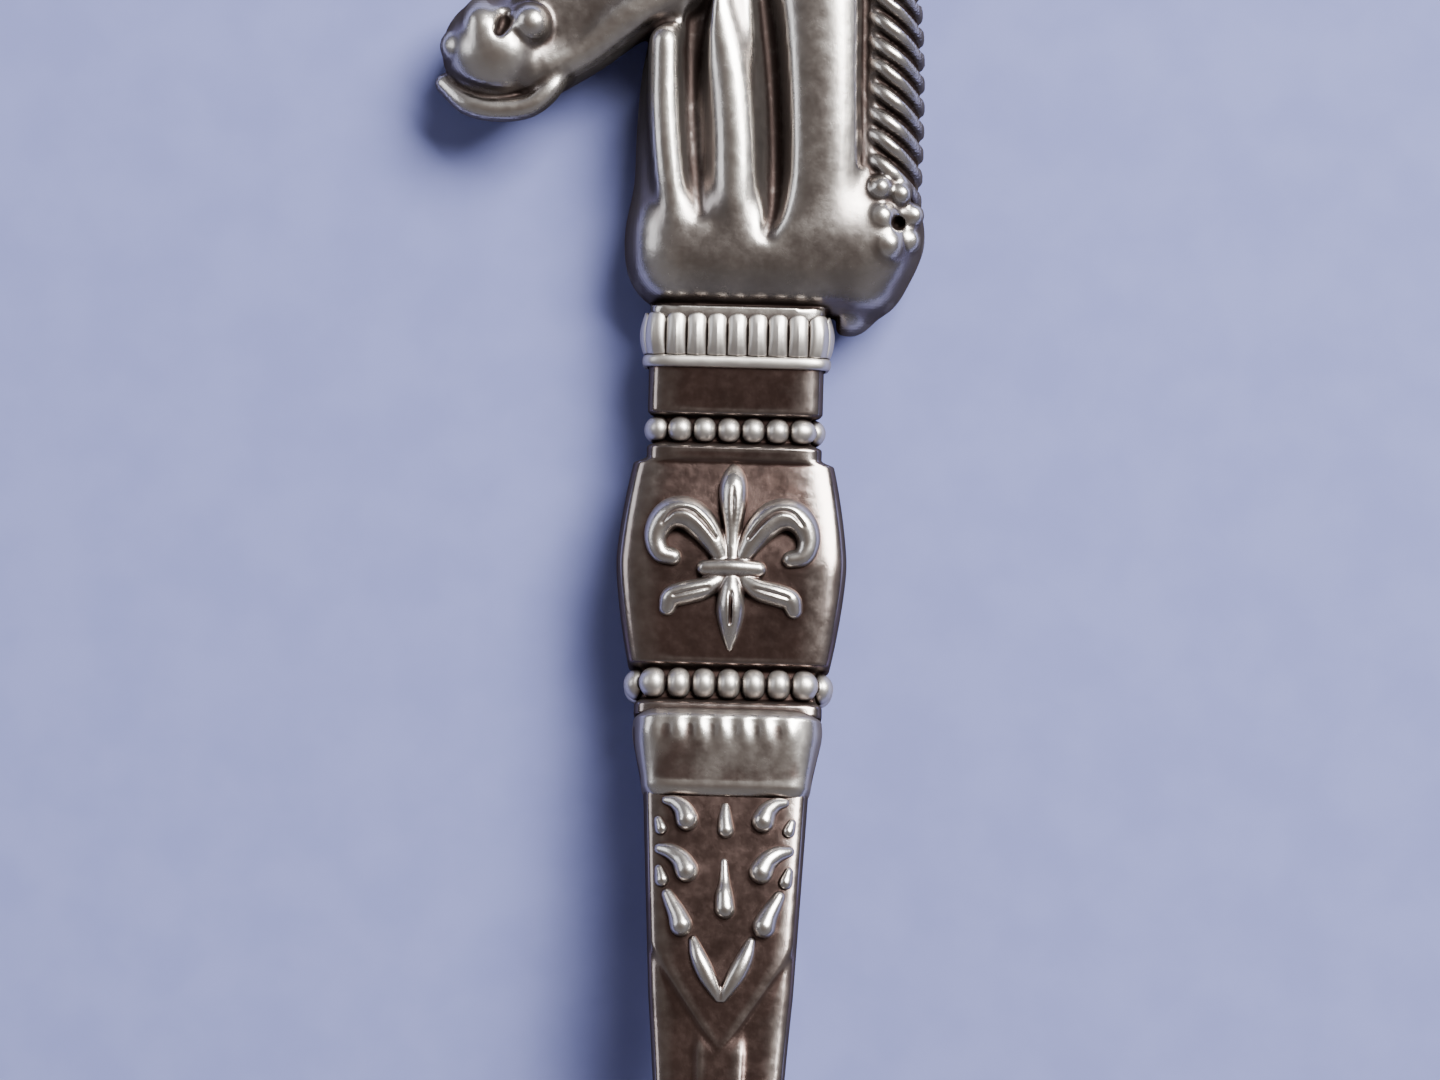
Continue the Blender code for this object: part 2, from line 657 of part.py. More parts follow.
def fleur_strokes():
    """A fleur-de-lis in millimetres down from the shield's top edge."""
    centre = [
        (0.9, [(0, -0.6, 0, 0.35), (0, -1.6, 0.1, 0.75), (0, -3.0, 0.1, 0.65), (0, -5.2, 0.1, 0.45)]),
        (0.9, [(0, -6.1, 0.1, 0.45), (0, -7.6, 0.1, 0.7), (0, -9.4, 0, 0.35)]),
        (0.9, [(-1.4, -5.6, 0.2, 0.4), (1.4, -5.6, 0.2, 0.4)]),
    ]
    petal = [
        (0.45, -5.2, 0.1, 0.45),
        (0.9, -4.0, 0.2, 0.6),
        (1.6, -3.0, 0.25, 0.7),
        (2.6, -2.5, 0.25, 0.65),
        (3.5, -3.0, 0.15, 0.6),
        (3.8, -4.1, 0.1, 0.5),
        (3.2, -4.9, 0.1, 0.4),
    ]
    foot = [(0.5, -6.1, 0.1, 0.4), (1.4, -6.6, 0.15, 0.5), (2.5, -6.8, 0.15, 0.5), (3.2, -7.5, 0, 0.3)]
    return centre + mirrored([(0.9, petal), (0.9, foot)])


def pendant_strokes():
    """Three pairs of comma scrolls beside a drop, over a pointed leaf, in millimetres from the cushion."""
    centre = [
        (0.9, [(0, -1.7, 0, 0.45), (0, -4.6, 0, 0.35), (0, -5.6, 0.15, 0.55), (0, -9.3, 0, 0.3)]),
    ]
    commas = [
        [(1.9, -1.4, 0.15, 0.6), (2.4, -0.9, 0.1, 0.45), (3.1, -0.7, 0, 0.35)],
        [(1.8, -3.8, 0.15, 0.6), (2.4, -3.2, 0.1, 0.45), (3.1, -3.0, 0, 0.35)],
        [(1.9, -6.3, 0.15, 0.6), (2.4, -5.6, 0.1, 0.45), (2.7, -5.0, 0, 0.35)],
    ]
    stalks = [[(0, y + 0.3, 0, 0.35), (1.8, y, 0, 0.4)] for y in (-1.6, -4.0, -6.5)]
    leaf = [(1.5, -6.8, 0, 0.4), (1.1, -7.8, 0.1, 0.45), (0.2, -9.4, 0, 0.35)]
    return centre + mirrored([(0.9, points) for points in [*commas, *stalks, leaf]])


def make_peg():
    mesh = peg_mesh("figure_peg", PEG_DIAMETER / 2, PEG_LENGTH)
    return add_node("figure_peg", mesh, BRASS)


def stand_on_origin():
    """Moves the whole spoon sideways until the middle of its box is over the origin."""
    graph = bpy.context.evaluated_depsgraph_get()
    corners = []
    for obj in SPOON.objects:
        placed = obj.evaluated_get(graph)
        corners += [placed.matrix_world @ Vector(c) for c in placed.bound_box]
    for axis in (0, 1):
        values = [c[axis] for c in corners]
        SPOON_FRAME.location[axis] = -(min(values) + max(values)) / 2


def build():
    make_stem()
    make_bowl()
    make_collar()
    seat = 2 * SEAT_DEPTH
    upper_seat = (NECK_WIDTH - seat, NECK_THICKNESS - seat)
    lower_seat = (SHIELD_END_WIDTH - seat, SHIELD_END_THICKNESS - seat)
    make_beaded_wire("upper_beaded_wire", UPPER_SEAT_TOP, UPPER_BEAD, *upper_seat)
    make_beaded_wire("lower_beaded_wire", SHIELD_FOOT, LOWER_BEAD, *lower_seat)
    make_moulding()
    make_figure()
    make_relief("fleur_de_lis", fleur_strokes(), SHIELD_TOP, voxel=0.2 * MM, keep=0.25)
    make_relief("pendant_drop", pendant_strokes(), MOULDING_FOOT, voxel=0.2 * MM, keep=0.25)
    make_peg()
    stand_on_origin()


clear_scene()
SPOON = make_collection("souvenir_spoon")
CUTTERS = make_collection("cutters")
SPOON_FRAME = bpy.data.objects.new("spoon_frame", None)
SPOON.objects.link(SPOON_FRAME)
build()
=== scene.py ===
"""The looks of the souvenir spoon: a horse-head figure over a decorated handle, in antiqued silver.

Work is in millimetres about the handle: X = 0 is the handle's middle, Y = 0 is the collar's top edge,
with +Y up the figure, and Z = 0 is the middle plane of the figure and the neck. to_world() carries
that to the frame, whose boxes say where everything is.
"""

import math

import bpy
import numpy as np
import openvdb
from mathutils import Matrix, Vector


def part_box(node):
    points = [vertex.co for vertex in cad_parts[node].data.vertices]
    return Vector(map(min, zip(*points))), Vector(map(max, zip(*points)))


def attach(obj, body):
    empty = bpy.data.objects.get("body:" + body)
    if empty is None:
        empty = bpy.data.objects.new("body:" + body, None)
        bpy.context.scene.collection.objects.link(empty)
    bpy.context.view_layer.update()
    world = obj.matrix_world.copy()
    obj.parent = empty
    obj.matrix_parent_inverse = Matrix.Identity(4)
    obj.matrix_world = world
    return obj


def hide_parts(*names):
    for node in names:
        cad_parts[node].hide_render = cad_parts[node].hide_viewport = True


MM = 0.001

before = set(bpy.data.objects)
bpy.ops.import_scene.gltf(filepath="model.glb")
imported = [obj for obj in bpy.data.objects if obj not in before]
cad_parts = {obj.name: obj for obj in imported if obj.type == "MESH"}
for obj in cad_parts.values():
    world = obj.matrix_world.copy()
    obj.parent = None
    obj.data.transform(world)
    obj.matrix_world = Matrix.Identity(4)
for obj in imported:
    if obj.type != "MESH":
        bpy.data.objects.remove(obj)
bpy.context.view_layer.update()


# Where things are, read from the frame.


def cad_box(node):
    """A node's lowest and highest corners, in millimetres about the handle."""
    low, high = (Vector(corner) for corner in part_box(node))
    return (low - ORIGIN) / MM, (high - ORIGIN) / MM


collar_low, collar_high = (Vector(corner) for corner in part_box("leaf_collar"))
ORIGIN = Vector(((collar_low.x + collar_high.x) / 2, collar_high.y, (collar_low.z + collar_high.z) / 2))
TABLE = -ORIGIN.z / MM
COLLAR_FOOT = cad_box("leaf_collar")[0].y
UPPER_WIRE = cad_box("upper_beaded_wire")
LOWER_WIRE = cad_box("lower_beaded_wire")
CUSHION = cad_box("cushion_moulding")
BOWL = cad_box("bowl")
STEM = cad_box("handle_stem")

SOLDER_GAP = 0.05
FILLET_LENGTH = 0.85
SHIELD_LENGTH = 10.35
LOWER_BEAD = 1.7
GROOVE_LENGTH = 0.8
MOULDING_LENGTH = 3.5
PENDANT_LENGTH = 9.65
TENON_LENGTH = 1.0
BEAD_SEAT = 0.55
MOULDING_SEAT = 0.375
UPPER_SEAT_TOP = UPPER_WIRE[1].y + SOLDER_GAP
UPPER_SEAT_FOOT = UPPER_WIRE[0].y - SOLDER_GAP
SHIELD_TOP = UPPER_SEAT_FOOT - FILLET_LENGTH
SHIELD_FOOT = SHIELD_TOP - SHIELD_LENGTH
LOWER_SEAT_FOOT = SHIELD_FOOT - LOWER_BEAD
MOULDING_TOP = LOWER_SEAT_FOOT - GROOVE_LENGTH
MOULDING_FOOT = MOULDING_TOP - MOULDING_LENGTH
PENDANT_FOOT = MOULDING_FOOT - PENDANT_LENGTH
HEEL = BOWL[1].y
LAP_END = STEM[0].y

# The power of the rounded rectangle that the handle's sections follow: the higher, the squarer.
SECTION_POWER = 7.0

# Half the width and half the thickness of the handle, place by place.
NECK = (4.35, 2.1)
SHIELD_END = (4.9, 1.95)
SHIELD_MIDDLE = (5.7, 2.5)
PENDANT_TOP = (4.05, 1.65)
PENDANT_END = (3.5, 1.65)
HEEL_SIZE = (2.2, 1.25)
LAP_SIZE = (0.65, 0.45)


def to_world(points, bent=True):
    """Carries an array of points about the handle into the frame, in metres, along the handle's arch."""
    points = np.array(points, float)
    if bent:
        height, slope = handle_line(points[:, 1])
        run = np.hypot(1, slope)
        points[:, 1] -= slope * points[:, 2] / run
        points[:, 2] = height + points[:, 2] / run
    return points * MM + np.array(ORIGIN)


def half_size(y):
    """Half the width and half the thickness of the handle at y, an array."""
    y = np.asarray(y, float)
    shield = np.clip((SHIELD_TOP - y) / (SHIELD_TOP - SHIELD_FOOT), 0, 1)
    ridge = 1 - np.sqrt((2 * shield - 1) ** 2 + 0.01) + 0.1
    swell = 0.5 * np.sin(np.pi * shield) ** 0.8 + 0.5 * np.clip(ridge, 0, 1)
    pendant = np.clip((MOULDING_FOOT - y) / PENDANT_LENGTH, 0, 1)
    shank = np.clip((PENDANT_FOOT - y) / (PENDANT_FOOT - HEEL), 0, 1)
    lap = np.clip((HEEL - y) / (HEEL - LAP_END), 0, 1)
    sizes = []
    for i, blend in ((0, shank * (2 - shank)), (1, shank)):
        size = np.full(y.shape, float(NECK[i]))
        size = np.where(y < UPPER_SEAT_TOP, NECK[i] - BEAD_SEAT, size)
        size = np.where(y < UPPER_SEAT_FOOT, NECK[i], size)
        size = np.where(y < SHIELD_TOP, SHIELD_END[i] + (SHIELD_MIDDLE[i] - SHIELD_END[i]) * swell, size)
        size = np.where(y < SHIELD_FOOT, SHIELD_END[i] - BEAD_SEAT, size)
        size = np.where(y < LOWER_SEAT_FOOT, SHIELD_END[i] - BEAD_SEAT / 2 * (1 - i), size)
        size = np.where(y < MOULDING_TOP, PENDANT_TOP[i] - MOULDING_SEAT * (1 - i), size)
        narrowing = PENDANT_END[i] - PENDANT_TOP[i]
        size = np.where(y < MOULDING_FOOT, PENDANT_TOP[i] + narrowing * pendant, size)
        size = np.where(y < PENDANT_FOOT, PENDANT_END[i] + (HEEL_SIZE[i] - PENDANT_END[i]) * blend, size)
        lap_blend = lap**1.6 if i == 0 else lap
        size = np.where(y < HEEL, HEEL_SIZE[i] + (LAP_SIZE[i] - HEEL_SIZE[i]) * lap_blend, size)
        sizes.append(size)
    return sizes


def probe_heights(stations):
    """Height of the handle's middle line at each station, from the underside of the CAD handle."""
    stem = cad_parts["handle_stem"]
    heights = []
    well_below = -0.1
    for y in stations:
        start = Vector((ORIGIN.x, ORIGIN.y + y * MM, well_below))
        _, place, _, _ = stem.ray_cast(start, Vector((0, 0, 1)))
        heights.append((place.z - ORIGIN.z) / MM + float(half_size([y])[1][0]))
    return heights


STATIONS = [
    2 * COLLAR_FOOT,
    PENDANT_FOOT,
    HEEL + (PENDANT_FOOT - HEEL) * 0.55,
    HEEL,
    (HEEL + LAP_END) / 2,
    LAP_END + 0.2,
]
HEIGHTS = [0.0, *probe_heights(STATIONS[1:])]
SLOPES = [0.0]
for k in range(1, len(STATIONS) - 1):
    rise = HEIGHTS[k + 1] - HEIGHTS[k - 1]
    SLOPES.append(rise / (STATIONS[k + 1] - STATIONS[k - 1]))
SLOPES.append((HEIGHTS[-1] - HEIGHTS[-2]) / (STATIONS[-1] - STATIONS[-2]))


def handle_line(y):
    """Height and slope of the handle's middle line: a smooth cubic between its stations, level beyond."""
    y = np.asarray(y, float)
    height = np.zeros(y.shape)
    slope = np.zeros(y.shape)
    for k in range(len(STATIONS) - 1):
        y0, y1, z0, z1 = STATIONS[k], STATIONS[k + 1], HEIGHTS[k], HEIGHTS[k + 1]
        s0, s1 = SLOPES[k], SLOPES[k + 1]
        last = k == len(STATIONS) - 2
        here = (y < y0) & ((y >= y1) | last)
        t = (y - y0) / (y1 - y0)
        h = z0 * (2 * t**3 - 3 * t**2 + 1) + z1 * (3 * t**2 - 2 * t**3)
        h += (y1 - y0) * (s0 * (t**3 - 2 * t**2 + t) + s1 * (t**3 - t**2))
        d = (z1 - z0) * (6 * t - 6 * t**2) / (y1 - y0)
        d += s0 * (3 * t**2 - 4 * t + 1) + s1 * (3 * t**2 - 2 * t)
        height = np.where(here, h, height)
        slope = np.where(here, d, slope)
    return height, slope


# Mesh helpers.


def make_piece(name, points, faces, node, material):
    """A smooth-shaded mesh that stands for a CAD node."""
    mesh = bpy.data.meshes.new(name)
    mesh.from_pydata(points.tolist(), [], faces)
    mesh.validate()
    mesh.shade_smooth()
    piece = bpy.data.objects.new(name, mesh)
    bpy.context.scene.collection.objects.link(piece)
    mesh.materials.append(material)
    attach(piece, "root")
    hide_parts(node)
    return piece


def loft_faces(rings, count, closed_length=False):
    """Faces of a loft whose points run ring by ring. The last ring joins the first, or both are capped."""
    faces = []
    last = rings if closed_length else rings - 1
    for i in range(last):
        a = i * count
        b = (i + 1) % rings * count
        for j in range(count):
            k = (j + 1) % count
            faces.append((a + j, a + k, b + k, b + j))
    if not closed_length:
        faces.append(tuple(reversed(range(count))))
        faces.append(tuple(range((rings - 1) * count, rings * count)))
    return faces


def outline(half_width, half_thickness, count):
    """Even points round a rounded-rectangle section, with their outward normals: (x, z, nx, nz)."""
    angle = np.linspace(0, 2 * math.pi, 2881)
    c, s = np.cos(angle), np.sin(angle)
    x = half_width * np.sign(c) * np.abs(c) ** (2 / SECTION_POWER)
    z = half_thickness * np.sign(s) * np.abs(s) ** (2 / SECTION_POWER)
    run = np.concatenate([[0], np.cumsum(np.hypot(np.diff(x), np.diff(z)))])
    at = np.arange(count) / count * run[-1]
    x, z = np.interp(at, run, x), np.interp(at, run, z)
    nx = np.sign(x) * np.abs(x / half_width) ** (SECTION_POWER - 1) / half_width
    nz = np.sign(z) * np.abs(z / half_thickness) ** (SECTION_POWER - 1) / half_thickness
    size = np.hypot(nx, nz)
    return x, z, nx / size, nz / size


# Modelling clay: a grid of distances to a surface, for the sculpted pieces.

FAR = 4.0


class Clay:
    """A block of such a grid, with ways to add to it, cut it and smooth it."""

    def __init__(self, low, high, voxel):
        self.low = np.array(low, float)
        self.voxel = voxel
        counts = np.ceil((np.array(high) - self.low) / voxel).astype(int) + 1
        self.axes = [self.low[i] + voxel * np.arange(counts[i]) for i in range(3)]
        self.field = np.full(counts, FAR, np.float32)

    def window(self, low, high):
        """Slices and coordinates of the part of the grid between two corners."""
        cuts = []
        for axis, lo, hi in zip(self.axes, low, high):
            first = int(np.searchsorted(axis, lo))
            last = int(np.searchsorted(axis, hi))
            cuts.append(slice(first, max(last, first + 1)))
        parts = (axis[cut].astype(np.float32) for axis, cut in zip(self.axes, cuts))
        return tuple(cuts), np.meshgrid(*parts, indexing="ij", sparse=True)

    def stroke(self, points, flat, margin):
        """Distance to balls (x, y, z, radius) joined in a chain by cones, flat times as deep as wide."""
        points = np.array(points, float)
        centres, radii = points[:, :3], points[:, 3]
        reach = radii[:, None] + margin
        low, high = (centres - reach).min(0), (centres + reach).max(0)
        cuts, (x, y, z) = self.window(low, high)
        if len(points) == 1:
            centres = np.vstack([centres, centres + 1e-4])
            radii = np.append(radii, radii)
        nearest = None
        for a, b, ra, rb in zip(centres, centres[1:], radii, radii[1:]):
            ax, ay, az = x - a[0], y - a[1], (z - a[2]) / flat
            bx, by, bz = b[0] - a[0], b[1] - a[1], (b[2] - a[2]) / flat
            t = np.clip((ax * bx + ay * by + az * bz) / (bx * bx + by * by + bz * bz), 0, 1)
            d = np.sqrt((ax - t * bx) ** 2 + (ay - t * by) ** 2 + (az - t * bz) ** 2) - (ra + t * (rb - ra))
            nearest = d if nearest is None else np.minimum(nearest, d)
        return cuts, nearest.astype(np.float32)

    def add(self, points, blend, flat=1.0):
        """Adds a stroke, run into what is there over about blend millimetres."""
        cuts, d = self.stroke(points, flat, blend + 3 * self.voxel)
        here = self.field[cuts]
        mix = np.maximum(blend - np.abs(here - d), 0) / blend
        self.field[cuts] = np.minimum(here, d) - mix * mix * blend / 4

    def cut(self, points, blend, flat=1.0):
        """Cuts a stroke out, with its edges rounded over about blend millimetres."""
        cuts, d = self.stroke(points, flat, blend + 3 * self.voxel)
        here = self.field[cuts]
        d = -d
        mix = np.maximum(blend - np.abs(here - d), 0) / blend
        self.field[cuts] = np.maximum(here, d) + mix * mix * blend / 4

    def keep(self, distance, blend):
        """Cuts away what is outside another shape, given by its distance field."""
        mix = np.maximum(blend - np.abs(self.field - distance), 0) / blend
        self.field = (np.maximum(self.field, distance) + mix * mix * blend / 4).astype(np.float32)

    def soften(self, radius):
        """Rounds every edge and hollow over about this radius."""
        rounds = max(1, round((radius / self.voxel) ** 2 * 2))
        for _ in range(rounds):
            for axis in range(3):
                first, last = self.field.take([0], axis), self.field.take([-1], axis)
                padded = np.concatenate([first, self.field, last], axis)
                count = self.field.shape[axis]
                before = padded.take(range(count), axis)
                after = padded.take(range(2, count + 2), axis)
                self.field = self.field / 2 + (before + after) / 4

    def skin(self):
        """The surface, as points in millimetres and faces."""
        grid = openvdb.FloatGrid(background=FAR)
        grid.copyFromArray(np.ascontiguousarray(self.field))
        points, triangles, quads = grid.convertToPolygons(isovalue=0.0, adaptivity=0.0)
        faces = [tuple(f) for f in quads.tolist()] + [tuple(f) for f in triangles.tolist()]
        return self.low + points * self.voxel, faces


def curve(points, steps=5):
    """A smooth curve through points of any width, as many more points."""
    points = np.array(points, float)
    padded = np.vstack([2 * points[0] - points[1], points, 2 * points[-1] - points[-2]])
    out = []
    for p0, p1, p2, p3 in zip(padded, padded[1:], padded[2:], padded[3:]):
        square = 2 * p0 - 5 * p1 + 4 * p2 - p3
        cube = 3 * p1 - p0 - 3 * p2 + p3
        for t in np.arange(steps) / steps:
            out.append(0.5 * (2 * p1 + (p2 - p0) * t + square * t**2 + cube * t**3))
    out.append(points[-1])
    return out


# The figure.

POLL = (4.5, 29.2)
HEAD_ANGLE = math.radians(40.8)
CHEEK = (7.8, -4.4)
EYE = (8.6, -0.5)


def on_head(along, up, z, radius):
    """A ball on the head, by its distance down the face from the poll and its height off that line."""
    c, s = math.cos(HEAD_ANGLE), math.sin(HEAD_ANGLE)
    return POLL[0] - c * along - s * up, POLL[1] - s * along + c * up, z, radius


def model_neck(clay):
    """The slab of the neck with its three long muscles, and the square foot of the bust."""
    columns = (
        [
            (-3.3, 2.6, 0, 2.0), (-3.3, 9, 0, 2.0), (-3.0, 13, 0, 1.9), (-1.6, 17, 0, 1.9),
            (0.3, 21, 0, 2.1), (1.8, 25.5, 0, 1.9),
        ],
        [(-0.2, 2.8, 0, 2.3), (0, 9, 0, 2.3), (0.2, 14, 0, 2.3), (1.6, 20, 0, 2.3), (3.0, 26, 0, 2.0)],
        [(3.4, 2.8, 0, 2.35), (3.6, 9, 0, 2.3), (3.6, 15, 0, 2.3), (3.7, 20, 0, 2.2), (4.0, 26, 0, 1.9)],
        [(6.3, 3.6, 0, 2.1), (6.5, 9, 0, 2.0), (6.3, 15, 0, 2.0), (5.7, 20, 0, 1.9), (4.7, 25.5, 0, 1.8)],
    )
    for column in columns:
        clay.add(curve(column), blend=1.4)
    clay.add([(-2.7, 2.75, 0, 2.6), (2, 2.7, 0, 2.66), (5.6, 2.9, 0, 2.6)], blend=1.4)
    clay.add([(-2.9, 4.2, 0, 2.35), (2, 4.2, 0, 2.5), (6.4, 4.8, 0, 2.35)], blend=1.4)
    clay.add([(6.7, 3.9, 0, 2.35), (6.3, 1.9, -0.2, 1.9), (5.6, 0.4, -0.4, 1.3)], blend=1.0)
    strap = [
        (-3.9, 13.35, 1.85, 0.9), (-3.85, 10, 1.95, 0.9), (-3.5, 6.5, 1.95, 0.9),
        (-3.05, 4.3, 1.8, 0.85),
    ]
    clay.add(curve(strap), blend=0.35)
    middle = [
        (-2.6, 19, 1.2, 1.1),
        (-1.75, 15.8, 1.55, 1.2),
        (-0.9, 12.5, 1.7, 1.25),
        (-0.45, 9, 1.7, 1.35),
        (-0.3, 6, 1.65, 1.4),
        (-0.15, 4.2, 1.45, 1.35),
    ]
    clay.add(curve(middle), blend=0.35)
    for shift in (-0.55, 0.65):
        broad = [(2.9, 23, 0.9), (3.5, 17, 1.2), (3.75, 12, 1.25), (3.85, 8, 1.2), (3.8, 4.4, 1.0)]
        clay.add(curve([(x + shift, y, z, 1.75) for x, y, z in broad]), blend=0.7)
    clay.soften(0.2)
    first_groove = [
        (-2.35, 15.6, 2.3, 0.7), (-2.55, 13, 2.35, 0.62), (-2.5, 10, 2.5, 0.42),
        (-2.25, 7, 2.6, 0.34), (-2.0, 4.9, 2.85, 0.2),
    ]
    clay.cut(curve(first_groove), blend=0.35, flat=2.0)
    second_groove = [
        (0.3, 19, 2.7, 0.5), (1.0, 15, 2.6, 0.62), (1.45, 11, 2.6, 0.62),
        (1.65, 7.5, 2.6, 0.58), (1.6, 5.2, 2.8, 0.4), (1.35, 4.0, 3.1, 0.2),
    ]
    clay.cut(curve(second_groove), blend=0.6, flat=2.2)
    clay.soften(0.17)


def model_mane(clay):
    """A crest with slanting locks, and a cluster of small round curls at its foot."""
    crest = [
        (7.0, 5.6, 0, 1.7), (7.2, 9, 0, 1.6), (6.9, 15, 0, 1.65), (6.1, 21, 0, 1.7),
        (5.1, 26, 0, 1.7), (3.9, 28.8, 0, 1.6),
    ]
    clay.add(curve(crest), blend=0.5, flat=1.05)
    parting = [
        (4.2, 27.5, 2.6, 0.3), (5.0, 23, 2.6, 0.35), (5.85, 17, 2.6, 0.36),
        (6.0, 12, 2.6, 0.36), (6.05, 7.6, 2.7, 0.26),
    ]
    clay.cut(curve(parting), blend=0.3, flat=2.0)
    line = np.array(curve([(6.15, 7.9), (6.2, 12), (6.0, 17), (5.2, 22.5), (4.2, 27.5)], steps=20))
    run = np.concatenate([[0], np.cumsum(np.hypot(*np.diff(line, axis=0).T))])
    pitch = 1.16
    for k in range(int(run[-1] / pitch) + 1):
        x = np.interp(k * pitch, run, line[:, 0])
        y = np.interp(k * pitch, run, line[:, 1])
        wave = 0.1 * math.sin(2.1 * k)
        lock = [
            (x, y + 0.1, 1.6, 0.22),
            (x + 0.55, y - 0.25 + wave, 1.95, 0.4),
            (x + 1.25, y - 0.75 + wave, 2.0, 0.47),
            (x + 1.9, y - 1.25, 1.5, 0.46),
            (x + 2.4, y - 1.75, 0.8, 0.4),
            (x + 2.6, y - 2.1, 0.1, 0.3),
        ]
        clay.add(curve(lock), blend=0.12)
        gap = [
            (x + 0.3, y - 0.7, 2.4, 0.12), (x + 1.2, y - 1.3, 2.4, 0.16),
            (x + 2.0, y - 1.9, 1.9, 0.18), (x + 2.7, y - 2.5, 1.0, 0.2),
        ]
        clay.cut(curve(gap), blend=0.15, flat=2.2)
    for x, y, z, radius in (
        (6.85, 6.35, 2.2, 0.62),
        (7.85, 6.1, 2.0, 0.58),
        (6.95, 4.95, 2.25, 0.64),
        (8.5, 5.1, 1.6, 0.6),
        (7.3, 3.6, 2.15, 0.72),
        (8.35, 3.85, 1.6, 0.6),
    ):
        clay.add([(x, y, z, radius)], blend=0.3)
    clay.cut([(7.8, 4.65, 2.4, 0.36)], blend=0.15, flat=2.5)


